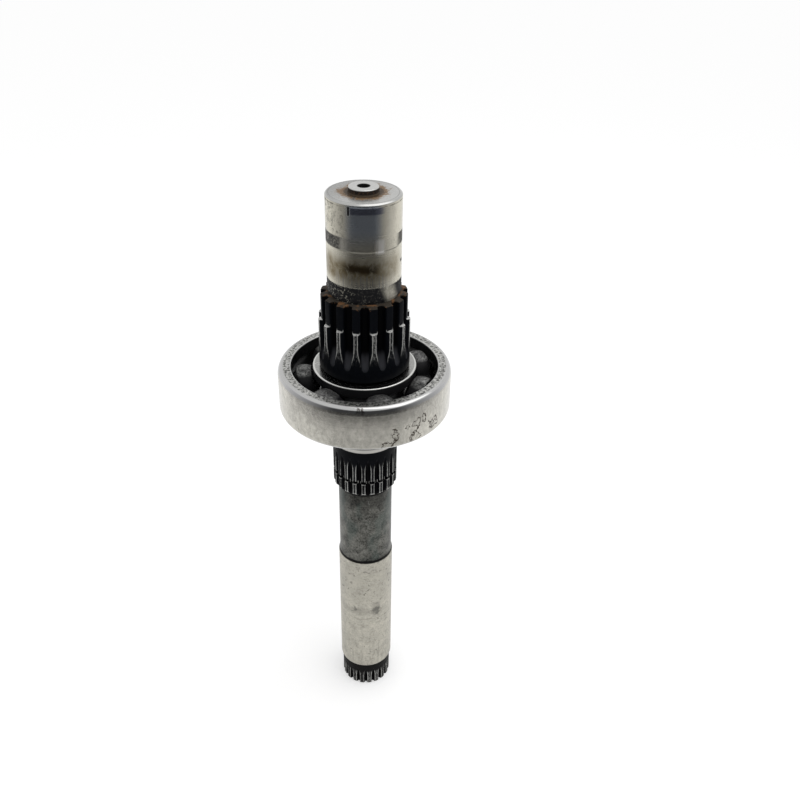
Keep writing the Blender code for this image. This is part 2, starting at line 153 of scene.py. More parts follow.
class Paint:
    """A material that is being built, with the piece's own coordinates in millimetres."""

    def __init__(self, name, specular):
        self.material = bpy.data.materials.new(name)
        self.material.use_nodes = True
        self.tree = self.material.node_tree
        self.surface = self.tree.nodes["Principled BSDF"]
        self.surface.inputs["Specular IOR Level"].default_value = specular
        place = self.node("ShaderNodeTexCoord", output="Object")
        self.point = self.node("ShaderNodeVectorMath", {0: place, "Scale": 1 / MM}, operation="SCALE")
        self.x, self.y, self.z = (
            self.node("ShaderNodeSeparateXYZ", {0: self.point}, output=axis) for axis in "XYZ")
        self.radius = (self.x * self.x + self.y * self.y) ** 0.5
        # Degrees from the front, positive to the right
        self.turn = self.x.arctan2(self.y * -1) * (180 / pi)
        corner = self.attribute("corner")
        self.edge = corner.at_least(0.0)
        self.nook = (corner * -1).at_least(0.0)

    def node(self, kind, values=None, output=0, **settings):
        return Wire(self, add_node(self.tree, kind, values, **settings)[output])

    def attribute(self, name):
        return self.node("ShaderNodeAttribute", output="Fac", attribute_name=name)

    def ease(self, value, low, high):
        """0 below low and 1 above high, with a soft step between; low may be the larger one."""
        return self.node("ShaderNodeMapRange", {"Value": value, "From Min": low, "From Max": high},
                         interpolation_type="SMOOTHSTEP")

    def band(self, value, low, high, soft):
        """1 between low and high, with soft ends."""
        rise = self.ease(value, low - soft, low + soft)
        return rise * self.ease(value, high + soft, high - soft)

    def spot(self, heights, turns, height=None):
        """1 in a patch of a wall: a band of heights, which may be uneven, times one of turns."""
        return self.band(height or self.z, *heights) * self.band(self.turn, *turns)

    def grain(self, scale, stretch=(1, 1, 1), detail=3.0, rough=0.55, warp=0.0):
        """Noise about 0.5; stretch squeezes it along an axis, for streaks and rings."""
        vector = self.node("ShaderNodeVectorMath", {0: self.point, 1: stretch}, operation="MULTIPLY")
        return self.node("ShaderNodeTexNoise", {"Vector": vector, "Scale": scale, "Detail": detail,
                                                "Roughness": rough, "Distortion": warp})

    def blend(self, first, second, share, **settings):
        """Blends two colours, each a wire or three numbers."""
        ends = [end if isinstance(end, Wire) else (*end, 1.0) for end in (first, second)]
        return self.node("ShaderNodeMix", {0: share, 6: ends[0], 7: ends[1]}, output=2,
                         data_type="RGBA", **settings)

    def coats(self, colour, *coats):
        """A colour under others, each with its mask, in the order in which they are laid on."""
        for over, mask in coats:
            colour = self.blend(colour, over, mask)
        return colour

    def tint(self, colour, amount):
        """A colour made lighter or darker by a number about 1."""
        grey = self.node("ShaderNodeCombineXYZ", {0: amount, 1: amount, 2: amount})
        return self.blend(colour, grey, 1.0, blend_type="MULTIPLY")

    def done(self, colour, roughness, metallic, height, depth=0.02):
        """Joins the finish to the surface; height is in units of depth, a length in millimetres."""
        bump = self.node("ShaderNodeBump", {"Height": height, "Distance": depth * MM, "Strength": 1.0},
                         output="Normal")
        feed(self.tree, self.surface.inputs, {"Base Color": colour, "Roughness": roughness,
                                              "Metallic": metallic, "Normal": bump})
        print("finish", self.material.name, "has", len(self.tree.nodes), "nodes")
        return self.material


# %% [markdown]
# Every turned piece starts as half of its section, drawn beside the axis. The Screw modifier
# would spin a section, but a lathe never leaves a knife edge, and a real edge is what
# catches the light. So each corner of the section is rounded first, and its points are
# marked: above zero on an outer corner, where handling wears the metal bright, and below
# zero in an inner corner, where oil and dirt stay. The mark rides on the mesh as an
# attribute that the finishes read.

# %% Turned pieces
TURNED_SEGMENTS = 192
CORNER_STEPS = 4
EDGE_SHARE = 0.45       # the most of an edge that the rounding of one corner takes
MARK_AT_ENDS = 0.35     # where a rounding begins and ends; its middle is marked 1
PLAIN_FROM = 1.1        # the distance from a corner, in reaches, where the mark is gone
SMOOTH_TO = radians(40)


def rounded(section, closed=False):
    """Rounds the corners, each (radius, height) or (radius, height, rounding), and marks them."""
    spots = [Vector(corner[:2]) for corner in section]
    made = []
    for i, (radius, z, *rounding) in enumerate(section):
        here = spots[i]
        if not rounding or (not closed and i in (0, len(section) - 1)):
            made.append((radius, z, 0.0))
            continue
        back = spots[i - 1] - here
        on = spots[(i + 1) % len(spots)] - here
        reach = min(rounding[0], back.length * EDGE_SHARE, on.length * EDGE_SHARE)
        back.normalize()
        on.normalize()
        side = 1.0 if back.cross(on) < 0 else -1.0
        for step in range(-1, CORNER_STEPS + 2):
            share = step / CORNER_STEPS
            if 0 <= share <= 1:
                spot = here + back * reach * (1 - share) ** 2 + on * reach * share ** 2
                mark = side * (MARK_AT_ENDS + (1 - MARK_AT_ENDS) * sin(pi * share))
            else:
                spot = here + (back if share < 0 else on) * reach * PLAIN_FROM
                mark = 0.0
            made.append((spot.x, spot.y, mark))
    return made


class Skin:
    """A closed surface laid down in rings of (point, mark); equal points share one vertex."""

    WELD_STEP = 2e-5

    def __init__(self):
        self.mesh = bmesh.new()
        self.mark = self.mesh.verts.layers.float.new("corner")
        self.welded = {}

    def vertex(self, point, mark):
        key = tuple(round(value / self.WELD_STEP) for value in point)
        if key not in self.welded:
            self.welded[key] = self.mesh.verts.new(Vector(point) * MM)
            self.welded[key][self.mark] = mark
        return self.welded[key]

    def face(self, corners):
        used = []
        for corner in corners:
            vertex = self.vertex(*corner)
            if vertex not in used:
                used.append(vertex)
        if len(used) > 2:
            self.mesh.faces.new(used)

    def band(self, first, second, closed=True):
        count = len(first)
        for i in range(count if closed else count - 1):
            j = (i + 1) % count
            self.face((first[i], first[j], second[j], second[i]))

    def finish(self, name):
        mesh = bpy.data.meshes.new(name)
        self.mesh.to_mesh(mesh)
        self.mesh.free()
        return mesh


def polar(radius, angle, z):
    return (radius * cos(angle), radius * sin(angle), z)


def piece(name, mesh, finish, body, nodes):
    """Stands a finished mesh in the place of CAD nodes, on their body."""
    mesh.materials.clear()
    mesh.materials.append(finish)
    mesh.shade_smooth()
    mesh.set_sharp_from_angle(angle=SMOOTH_TO)
    made = placed(name, mesh)
    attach(made, body)
    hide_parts(*nodes)
    print("piece", name, "has", len(mesh.polygons), "faces")
    return made


def turned(section, closed=False, segments=TURNED_SEGMENTS):
    """Spins a section, drawn up its outer side, round the axis; all in millimetres."""
    skin = Skin()
    angles = [tau * i / segments for i in range(segments)]
    rings = [[(polar(radius, angle, z), mark) for angle in angles]
             for radius, z, mark in rounded(section, closed)]
    for first, second in zip(rings, rings[1:] + rings[:1] if closed else rings[1:]):
        skin.band(first, second)
    return skin.finish("turned")


def shaft_piece(name, mesh, finish):
    return piece(name, mesh, finish, SHAFT_BODY, ["shaft"])


def shaft_length(name, section, finish):
    """A turned length of the shaft, whose section is closed to the axis at both ends."""
    low, high = ((0.0, end[1]) for end in (section[0], section[-1]))
    return shaft_piece(name, turned([low, *section, high]), finish)


# %% [markdown]
# The shaft's heights are measured up from the end of the foot spline, in millimetres. They
# follow the real shaft: each length is a driving size, and the heights are their sums.

# %% Heights up the shaft
FOOT_END, TAIL_START = 8.8, 11.5
TAIL_TOP = TAIL_START + 60.6
GROOVE_TOP = TAIL_TOP + 0.6
HUB_START = GROOVE_TOP + 34.5
HUB_END = HUB_START + 17.0
SEAT_START = HUB_END + 3.2
BEARING_LOW, BEARING_HIGH = (corner.z for corner in box_mm("bearing_outer_ring"))
COLLAR_START = BEARING_HIGH + 0.3
RUN_OUT_START = COLLAR_START + 4.8
LEDGE = RUN_OUT_START + 14.2
GEAR_END = LEDGE + 9.3
JOURNAL_FOOT = GEAR_END + 1.0
SHAFT_TOP = box_mm("shaft")[1].z
BOSS_HEIGHT = 1.9
FACE = SHAFT_TOP - BOSS_HEIGHT
print("hub", HUB_START, "seat", SEAT_START, "collar", round(COLLAR_START, 2), "face", round(FACE, 2))

# %% [markdown]
# The front journal ran in a bearing of its own, so it is ground. It is pale and slightly warm,
# with fine lines round it. Its blue at the front, and a navy band at its top, are a painted
# reflection of the dark in front of it. A used one also tells where it ran: a black scuffed
# band, a brown oil stain below it, and black varnish at its root. Each mark is one mask: a band
# of heights, broken up by noise and made stronger on one side. A picture painted onto the piece
# would show the same, but a mask stays sharp from near.

# %% Finish of the front journal
JOURNAL_STEEL = (0.572, 0.545, 0.455)
# Painted reflection: the blue that the dark in front shows on the steel
DARK_REFLECTION_BLUE = (0.50, 0.545, 0.60)
SCUFF_BLACK = (0.008, 0.008, 0.009)


def face_colour(paint, colour, speckle, smudge):
    """Lays the end face over a colour: lathe rings, painted light on its front right, and rust about the
    boss, whose mask it returns too.
    """
    ease = paint.ease
    face = ease(paint.z, FACE - 0.12, FACE - 0.02)
    about = paint.node("ShaderNodeCombineXYZ", {0: paint.radius * 2.4})
    rings = paint.node("ShaderNodeTexNoise", {"Vector": about, "Scale": 1.0, "Detail": 4.0})
    # Painted light: the face is lighter towards its front right
    light = ease(paint.x - paint.y, -16, 12) * 0.4
    grey = paint.tint((0.36, 0.36, 0.35), 0.66 + rings * 0.35 + speckle * 0.35 + light - smudge * 0.4)
    uneven = paint.radius + (speckle - 0.5) * 4
    rust = face * ease(uneven + (smudge - 0.5) * 10, 9.2, 7.2)
    colour = paint.coats(
        colour,
        (grey, face),
        ((0.175, 0.100, 0.042), rust * 0.9),
        ((0.030, 0.020, 0.012), face * ease(uneven, 7.2, 6.0) * 0.85),
        ((0.12, 0.12, 0.12), face * paint.band(paint.radius, 11.3, 11.6, 0.15) * 0.5))
    return colour, rust


def journal_finish():
    paint = Paint("ground_journal_steel", 0.08)
    z, turn, grain, band, ease, spot = (
        paint.z, paint.turn, paint.grain, paint.band, paint.ease, paint.spot)
    lines = grain(1.0, (0.05, 0.05, 3.0), detail=4.0)
    cloud = grain(0.16, (1, 1, 0.8), detail=5.0, rough=0.6)
    smudge = grain(0.5, (1, 1, 0.7), detail=5.0, rough=0.7, warp=0.6)
    speckle = grain(1.7, (1, 1, 0.8), detail=4.0, rough=0.7)
    scratch = grain(1.3, detail=1.5, warp=5.0)
    streak = grain(1.2, (1.5, 1.5, 0.06), rough=0.7)
    wall = ease(z, FACE - 0.45, FACE - 0.65)
    thick = ease(smudge, 0.4, 0.6)

    # Heights are in millimetres up the shaft, turns in degrees from its front.
    # The navy band at the top, and the black notch where it begins: a painted reflection of the dark in
    # front
    navy_reflection = band(z, 218.2, 220.4, 0.15) * ease(turn, -22, -20) * ease(turn, 34, 22)
    navy_reflection = navy_reflection * (0.7 + speckle * 0.3)
    reflection_notch = spot((217.7, 220.6, 0.15), (-25.5, -21.5, 0.6))
    # Painted shade: a thin dark line all round, just under the chamfer
    shade_line = band(z, 220.2, 220.6, 0.15) * ease(smudge, 0.3, 0.6) * 0.6
    # The scuffed band
    scuffed = band(z, 206.0, 210.2, 0.15)
    scratches = band(scratch, 0.488, 0.502, 0.008) + band(scratch, 0.40, 0.412, 0.008)
    rough_side = (ease(turn, -31, -43) + ease(turn, 115, 145)).at_most(1.0)
    left_scuff = scuffed * rough_side * (0.55 + ease(speckle, 0.38, 0.50) * 0.38)
    left_scuff = left_scuff * (1 - scratches * 0.9)
    right_scuff = scuffed * band(turn, 60, 130, 8) * (0.76 + thick * 0.20)
    haze = scuffed * ease(turn, -14, -26) * 0.4
    rubbed = spot((205.0, 209.8, 0.4), (17, 31, 3)) * (0.25 + ease(streak, 0.42, 0.58) * 0.6)
    line = spot((205.6, 205.95, 0.10), (-40, 60, 10)) * 0.6
    # Smudges of fingers and oil beside the bright wall
    dirt = ease(smudge * 0.6 + speckle * 0.4, 0.48, 0.62)
    smudges = dirt * spot((209, 220.5, 1.0), (-92, -28, 8))
    smudges = smudges + dirt * (ease(turn, 20, 60) + ease(turn, -50, -80)).at_most(1.0) * 0.45
    # The brown stain and its dark heart
    stain_height = z + (cloud - 0.5) * 4
    stain = spot((195.6, 203.0, 2.2), (-84, 64, 22), stain_height)
    stain = stain * (0.62 + ease(smudge, 0.35, 0.60) * 0.38) * (0.95 - ease(turn, 8, 40) * 0.3)
    heart = spot((198.6, 201.7, 1.2), (-31, 19, 9), stain_height) * ease(smudge, 0.26, 0.46)
    # Dark runs down to the black varnish at the root
    runs = spot((192.6, 198.0, 1.0), (-48, 48, 10)) * ease(streak, 0.46, 0.62)
    clear = band(turn + z * 2 - 382, 33, 52, 9) * (0.55 + thick * 0.45)
    flecked_side = (ease(turn, -10, -30) + ease(turn, 100, 130)).at_most(1.0)
    fleck = ease(speckle, 0.54, 0.66) * (flecked_side * 0.45 + 0.12)
    root = ease(z - speckle * 1.2, 193.0, 192.7) * (1 - clear * 0.9) * (1 - fleck)
    nick = spot((199.4, 200.4, 0.2), (70, 79, 2))

    # Painted reflection: the steel turns blue at the front, where the dark in front shows in it
    blue_reflection = ease(z, 205.5, 214.0) * band(turn, -24, 22, 9)
    steel = paint.tint(paint.blend(JOURNAL_STEEL, DARK_REFLECTION_BLUE, blue_reflection), 0.84 + lines * 0.16 + cloud * 0.16)
    black = (left_scuff + right_scuff + line + root + nick + reflection_notch + shade_line).at_most(1.0)
    colour = paint.coats(
        steel,
        ((0.17, 0.165, 0.135), smudges * 0.75),
        ((0.160, 0.122, 0.058), stain),
        ((0.040, 0.027, 0.014), heart * 0.95),
        ((0.22, 0.22, 0.225), haze + runs * 0.55),
        ((0.15, 0.16, 0.22), navy_reflection),
        (SCUFF_BLACK, black),
        ((0.70, 0.69, 0.67), rubbed * 0.8),
        ((0.42, 0.42, 0.41), 1 - wall))
    colour, rust = face_colour(paint, colour, speckle, smudge)
    roughness = 0.22 + lines * 0.08 + stain * 0.12 + black * 0.3 + rust * 0.2 + rubbed * 0.2
    height = lines * 0.3 + smudges * 0.2 - black - stain * 0.2
    return paint.done(colour, roughness, 1 - black - rust * 0.8, height, depth=0.004)


journal_steel = journal_finish()

# %% [markdown]
# The journal is a plain turned form: a relief at its root, a long ground wall, a chamfer and a
# flat end face. The relief lets the grinding wheel run out, and shows as a dark line.

# %% Front journal
JOURNAL_RADIUS, RELIEF_RADIUS = 12.55, 12.15
BOSS_RADIUS = 5.0
shaft_length("front_journal", [
    (RELIEF_RADIUS, GEAR_END),
    (RELIEF_RADIUS, GEAR_END + 0.8, 0.12),
    (JOURNAL_RADIUS, JOURNAL_FOOT, 0.1),
    (JOURNAL_RADIUS, FACE - 0.5, 0.2),
    (JOURNAL_RADIUS - 0.55, FACE, 0.2),
    (BOSS_RADIUS, FACE),
], journal_steel)

# %% [markdown]
# A lathe leaves rings on an end face, and the shaft still has its centre boss, with the hole
# that held it between centres. Water stays in the corner round such a boss, so it has rusted
# there. The rings are noise that changes only with the radius.

# %% Boss and its finish


def boss_finish():
    paint = Paint("rusted_boss_steel", 0.15)
    ease = paint.ease
    speckle = paint.grain(2.2, detail=4.0, rough=0.7)
    top = ease(paint.z, SHAFT_TOP - 0.40, SHAFT_TOP - 0.12)
    hole = ease(paint.radius, 2.35, 2.0)
    side_rust = (1 - top) * ease(speckle, 0.45, 0.7)
    # Painted shade: the boss's side is painted near black, with a little rust on it; only its ground top
    # is grey
    colour = paint.coats(
        (0.010, 0.008, 0.007),
        ((0.15, 0.075, 0.035), side_rust * 0.35),
        ((0.055, 0.038, 0.022), ease(paint.z, FACE + 0.6, FACE + 0.1) * 0.8),
        (paint.tint((0.50, 0.50, 0.49), 0.75 + speckle * 0.5), top),
        ((0.006, 0.006, 0.006), hole))
    return paint.done(colour, 0.6 - top * 0.28 + hole * 0.2, top * (1 - hole), speckle, depth=0.01)


CENTRE_HOLE_RADIUS, CENTRE_HOLE_DEPTH = 2.0, 4.5
BOSS_FOOT, HOLE_FLOOR = FACE - 3.6, SHAFT_TOP - CENTRE_HOLE_DEPTH
boss = turned([
    (0.0, BOSS_FOOT),
    (BOSS_RADIUS + 0.35, BOSS_FOOT),
    (BOSS_RADIUS + 0.35, FACE + 0.02),
    (BOSS_RADIUS + 0.1, FACE + 0.2),
    (BOSS_RADIUS, FACE + 0.55),
    (BOSS_RADIUS, SHAFT_TOP, 0.35),
    (CENTRE_HOLE_RADIUS, SHAFT_TOP, 0.25),
    (CENTRE_HOLE_RADIUS, HOLE_FLOOR + 1.0),
    (0.0, HOLE_FLOOR),
], segments=96)
shaft_piece("centre_boss", boss, boss_finish())

# %% [markdown]
# A spline is one tooth, repeated. So only one pitch of it is drawn: from the middle of one
# space, over the land, to the middle of the next. A hob cuts the spaces, and it is a wheel,
# so where it leaves the blank each floor climbs an arc and the space ends in a round mouth.
# That needs two rules: the half width of a space at a height above its floor, and the lift
# of the floor along the shaft.

# %% One pitch of a spline
HOB_RADIUS = 14.0
FLANK_LEAN = radians(15)        # how far from radial a flank starts, where it leaves the fillet
FILLET_TURNS = [radians(angle) for angle in (0, 18, 36, 54, 72)]
FLANK_SHARES = (0.4, 0.85)
LAND_SHARES = (0.75, 0.5, 0.25, 0.0)
SOFT_SHARE = 0.3                # the most of a tooth's height that its soft edge takes
# The mark in a fillet fades up a flank at this rate; in the gear's run-outs it places the painted
# highlight of the mouths
NOOK_FADE = 2.5                 # how fast the mark of dirt fades up a flank
PLAIN_LAND = 0.78               # the share of a land between its worn edges
RUN_OUT_SHARES = (0.0, 0.04, 0.12, 0.25, 0.42, 0.6, 0.76, 0.88, 0.95, 0.985, 1.0)


class Tooth:
    """The rules of one spline: its spaces are round-floored and open out along their flanks."""

    def __init__(self, count, tip, depth, fillet, flank, soft):
        self.count = count
        self.tip = tip
        self.root = tip - depth
        self.depth = depth
        self.fillet = fillet
        self.soft = soft
        start = (fillet * (1 - sin(FLANK_LEAN)), fillet * cos(FLANK_LEAN))
        self.flank = [start] + [(radius - self.root, half) for radius, half in flank]

    def half_width(self, rise):
        if rise <= self.flank[0][0]:
            return sqrt(max(rise * (2 * self.fillet - rise), 0.0))
        for (low, low_half), (high, high_half) in zip(self.flank, self.flank[1:]):
            if rise <= high or high == self.flank[-1][0]:
                return low_half + (high_half - low_half) * (rise - low) / (high - low)

    def outline(self, z, tip=None, lift=0.0):
        """(point, mark) across one pitch at a height, with the tip turned down to a radius."""
        tip = self.tip if tip is None else tip
        left = 1 - lift / self.depth
        floor = self.root + lift
        tall = max(tip - floor, 0.0)
        soft = min(self.soft, tall * SOFT_SHARE)

        def flank_at(radius):
            half = self.half_width(max(radius - floor, 0.0))
            return pi / self.count - asin(min(half / radius, 1.0)), radius

        top_rise = max(tall - soft, 0.0)
        rises = [min(self.fillet * (1 - cos(turn)) * left, top_rise) for turn in FILLET_TURNS]
        rises += [rises[-1] + (top_rise - rises[-1]) * share for share in FLANK_SHARES]
        side = [(*flank_at(floor + rise), -max(0.0, 1 - NOOK_FADE * rise / self.depth) * left)
                for rise in rises]
        low = flank_at(floor + top_rise)
        corner = flank_at(max(tip, floor))[0]
        inner = max(corner - soft / tip, corner * 0.5)
        worn = 1.0 if left else 0.0
        side += [(*low, 0.25 * left), ((low[0] + 2 * corner + inner) / 4, tip - soft * 0.25, worn),
                 (inner, tip, 0.9 * worn), (inner * PLAIN_LAND, tip, 0.1 * worn)]
        half = side + [(inner * PLAIN_LAND * share, tip, 0.0) for share in LAND_SHARES]
        whole = half + [(-angle, radius, mark) for angle, radius, mark in reversed(half[:-1])]
        return [(polar(min(radius, tip), angle, z), mark) for angle, radius, mark in whole]

    def outlines(self, *places):
        """Outlines at pairs of a height and a tip radius."""
        return [self.outline(z, tip) for z, tip in places]

    def arcs(self, *places):
        """Plain arcs of as many points, each at a height, with a radius and a mark."""
        ways = [Vector(point[:2]).normalized() for point, _ in self.outline(0.0)]
        return [[((*(way * radius), z), mark) for way in ways] for z, radius, mark in places]

    def run_out(self, start, direction):
        """Outlines from the full depth at a height to where the hob has left the blank."""
        made = []
        for share in RUN_OUT_SHARES:
            lift = self.depth * share
            travel = sqrt(lift * (2 * HOB_RADIUS - lift))
            made.append(self.outline(start + direction * travel, lift=lift))
        return made

    def run_out_length(self):
        return sqrt(self.depth * (2 * HOB_RADIUS - self.depth))


def pitch_mesh(rings, low, high):
    """One pitch as a wedge: its rings, closed by fans to two points on the axis."""
    skin = Skin()
    for first, second in zip(rings, rings[1:]):
        skin.band(first, second, closed=False)
    for z, ring in ((low, rings[0][::-1]), (high, rings[-1])):
        for first, second in zip(ring, ring[1:]):
            skin.face((first, second, ((0, 0, z), 0.0)))
    return skin.finish("pitch")


# %% [markdown]
# Geometry Nodes repeat the pitch. The tree puts one copy on each of a few points, turns each
# copy by its number of pitches, makes the copies real and welds their seams, so that the
# result is one closed skin. An Array modifier with an object offset would do it too, but the
# tree has named inputs, and it can give each tooth a number of its own, which the finish
# uses to wear each tooth a little differently.

# %% A tree that repeats a pitch round the axis
WELD = 4e-6
NUMBER_SEED = 5


def repeat_tree():
    tree = bpy.data.node_groups.new("repeat_round_axis", "GeometryNodeTree")
    new_socket = tree.interface.new_socket
    inputs = {}
    for name, kind in (("Geometry", "NodeSocketGeometry"), ("Count", "NodeSocketInt"),
                       ("Clock", "NodeSocketFloat"), ("Finish", "NodeSocketMaterial")):
        inputs[name] = new_socket(name, in_out="INPUT", socket_type=kind).identifier
    new_socket("Geometry", in_out="OUTPUT", socket_type="NodeSocketGeometry")

    def add(kind, values=None, **settings):
        return add_node(tree, kind, values, **settings)

    given = add("NodeGroupInput")
    index = add("GeometryNodeInputIndex")[0]
    points = add("GeometryNodePoints", {"Count": given["Count"]})[0]
    pitch = add("ShaderNodeMath", {0: tau, 1: given["Count"]}, operation="DIVIDE")[0]
    turn = add("ShaderNodeMath", {0: index, 1: pitch, 2: given["Clock"]}, operation="MULTIPLY_ADD")[0]
    rotation = add("ShaderNodeCombineXYZ", {"Z": turn})[0]
    copies = add("GeometryNodeInstanceOnPoints",
                 {"Points": points, "Instance": given["Geometry"], "Rotation": rotation})[0]
    numbers = add("FunctionNodeRandomValue", {"Seed": NUMBER_SEED})
    number = next(out for out in numbers if out.enabled and out.type == "VALUE")
    marked = add("GeometryNodeStoreNamedAttribute",
                 {"Geometry": copies, "Name": "number", "Value": number}, domain="INSTANCE")[0]
    real = add("GeometryNodeRealizeInstances", {"Geometry": marked})[0]
    welded = add("GeometryNodeMergeByDistance", {"Geometry": real, "Distance": WELD})[0]
    dressed = add("GeometryNodeSetMaterial", {"Geometry": welded, "Material": given["Finish"]})[0]
    add("NodeGroupOutput", {0: dressed})
    return tree, inputs


round_axis, round_axis_inputs = repeat_tree()


def repeated(mesh, count, clock, finish):
    """The plain mesh of a pitch repeated round the axis."""
    holder = placed("pitch_holder", mesh)
    modifier = holder.modifiers.new("repeat", "NODES")
    modifier.node_group = round_axis
    for name, value in (("Count", count), ("Clock", clock), ("Finish", finish)):
        modifier[round_axis_inputs[name]] = value
    seen = holder.evaluated_get(bpy.context.evaluated_depsgraph_get())
    made = bpy.data.meshes.new_from_object(seen)
    bpy.data.objects.remove(holder)
    return made


print("tree inputs:", round_axis_inputs)

# %% [markdown]
# The splines came out of hardening black, and oil keeps them so. They are bright only where
# they rubbed: on the rounded edges of the lands, on the lands themselves, and in patches.
# The corner mark says where an edge is, noise breaks it up, and each tooth's own number
# makes some teeth more worn than others.

# %% Finish of the splines
OIL_BLACK = (0.0030, 0.0036, 0.0050)
NECK_BLACK = (0.0075, 0.0072, 0.0070)
SPACE_BLACK = (0.0015, 0.0015, 0.002)
WORN_BRIGHT = (0.50, 0.50, 0.48)


def spline_finish(name, tooth, land_wear, edge_wear, rough_edge, worn_heights, edge_from=0.35,
                  black=OIL_BLACK, marks=None):
    """Worn heights are where the wear begins, is whole, is whole still, and ends."""
    paint = Paint(name, 0.03)
    ease = paint.ease
    speckle = paint.grain(1.6, (1, 1, 0.5), detail=4.0, rough=0.7)
    fine = paint.grain(5.0, (1, 1, 0.6), rough=0.6)
    cloud = paint.grain(0.35)
    streak = paint.grain(1.3, (1.6, 1.6, 0.08))
    number = paint.attribute("number")
    on_land = ease(paint.radius, tooth.tip - 0.25, tooth.tip - 0.03)
    edge = paint.edge * (0.8 + number * 0.4) + (speckle - 0.5) * rough_edge
    edge = ease(edge, edge_from, edge_from + 0.4) * edge_wear
    patches = on_land * ease(fine * 0.5 + speckle * 0.6 + number * 0.1, 0.58, 0.70) * land_wear
    ragged = paint.z + (speckle - 0.5) * 3
    window = ease(ragged, *worn_heights[:2]) * ease(ragged, worn_heights[3], worn_heights[2])
    worn = (edge + patches).at_most(1.0) * window
    deep = ease(paint.radius, tooth.tip - tooth.depth * 0.3, tooth.tip - tooth.depth * 0.75)
    skin = paint.tint(black, 0.3 + cloud * 0.7 + streak * 0.8)
    colour = paint.coats(skin, (SPACE_BLACK, deep), (WORN_BRIGHT, worn))
    roughness = 0.36 - worn * 0.06 + speckle * 0.12
    if marks:
        coats, lip = marks(paint, speckle, cloud)
        colour = paint.coats(colour, *coats)
        worn = (worn + lip).at_most(1.0)
    return paint.done(colour, roughness, worn * 0.6, speckle * 0.6 + fine * 0.4, depth=0.010)


def spline_piece(name, tooth, rings, ends, clock, **wear):
    """A spline whose wedges end at two heights on the axis, with a space at a clock in degrees."""
    finish = spline_finish(f"black_{name}_steel", tooth, **wear)
    pitch = pitch_mesh(rings, *ends)
    mesh = repeated(pitch, tooth.count, radians(clock) + pi / tooth.count, finish)
    return shaft_piece(name, mesh, finish)


def bright_lip(paint, speckle, heights, radii):
    """Where lands are rubbed bright: in bands of heights, from a radius to a larger one outwards."""
    lip = sum(paint.band(paint.z, *ends) for ends in heights)
    return lip * paint.ease(paint.radius, *radii) * paint.ease(speckle, 0.36, 0.50)


# %% [markdown]
# The foot spline drives or is driven by a small hub. It has 19 short teeth, a narrow neck
# above them, and a centre hole in its end face, on which the shaft stands here.

# %% Foot spline
FOOT_RADIUS = 10.2


def foot_rings(tooth):
    full = FOOT_END - tooth.run_out_length()
    return [
        *tooth.arcs((CENTRE_HOLE_DEPTH, CENTRE_HOLE_RADIUS, 0.0), (0.0, CENTRE_HOLE_RADIUS, 0.0)),
        *tooth.outlines((0.0, FOOT_RADIUS - 0.3), (0.12, FOOT_RADIUS - 0.1), (0.4, FOOT_RADIUS),
                        (full * 0.5, FOOT_RADIUS)),
        *tooth.run_out(full, 1),
        *tooth.arcs((FOOT_END + 0.6, FOOT_RADIUS, 0.0), (TAIL_START, FOOT_RADIUS, 0.0)),
    ]


foot_tooth = Tooth(19, FOOT_RADIUS, 1.15, 0.43, [(FOOT_RADIUS, 0.86)], soft=0.12)
spline_piece("foot_spline", foot_tooth, foot_rings(foot_tooth), (CENTRE_HOLE_DEPTH + 1.0, TAIL_START),
             2.3, black=NECK_BLACK, land_wear=0.40, edge_wear=0.65, rough_edge=1.0,
             worn_heights=(-0.5, 1.0, 6.4, 7.8))

# %% [markdown]
# The tail journal is ground like the front one, but it has dulled to a warm grey, with faint
# stains and small dark pits. The groove at its top is where the grinding wheel stopped.

# %% Tail journal


def tail_finish():
    paint = Paint("dull_ground_steel", 0.15)
    z, grain, ease, spot = paint.z, paint.grain, paint.ease, paint.spot
    lines = grain(1.0, (0.08, 0.08, 4.0))
    cloud = grain(0.22, (1, 1, 0.8), detail=5.0, rough=0.6)
    speckle = grain(1.1, detail=4.0, rough=0.7)
    smudge = grain(0.45, detail=5.0, rough=0.7, warp=0.5)
    streak = grain(0.9, (1.6, 1.6, 0.10), rough=0.7)
    pits = ease(grain(0.85, detail=2.0, rough=0.4), 0.715, 0.75)
    wave = z + (cloud - 0.5) * 5

    stain = spot((43.5, 46.6, 1.2), (-70, 35, 12), wave) * ease(smudge, 0.35, 0.6)
    low_line = spot((40.6, 40.9, 0.15), (-40, 60, 8), z + (smudge - 0.5) * 3)
    scuff = spot((42.6, 50.0, 1.5), (14, 30, 4)) * ease(smudge, 0.38, 0.58)
    smudges = ease(smudge, 0.54, 0.68) * 0.6
    high = paint.band(wave, 52.0, 70.0, 3.0) * ease(smudge + (speckle - 0.5) * 0.3, 0.44, 0.68) * 0.36
    streaks = ease(streak, 0.50, 0.66) * ease(z, 34, 20) * 0.35
    mark = (stain * 0.5 + scuff * 0.65 + low_line * 0.45 + smudges + high + streaks).at_most(1.0)

    mottle = ease(smudge, 0.3, 0.7) * 0.34 + ease(speckle, 0.3, 0.7) * 0.22
    shade = 0.495 + ease(cloud, 0.3, 0.7) * 0.22 + lines * 0.10 + mottle
    colour = paint.coats(
        paint.tint((0.48, 0.460, 0.400), shade),
        ((0.17, 0.165, 0.145), mark),
        ((0.06, 0.055, 0.05), pits * 0.8),
        ((0.012, 0.012, 0.012), ease(z, TAIL_TOP - 0.12, TAIL_TOP + 0.05)))
    groove = ease(z, TAIL_TOP - 0.1, TAIL_TOP + 0.1)
    height = lines * 0.4 + speckle * 0.4 - pits
    return paint.done(colour, 0.36 + cloud * 0.16, 1.0 - groove * 0.9, height, depth=0.006)


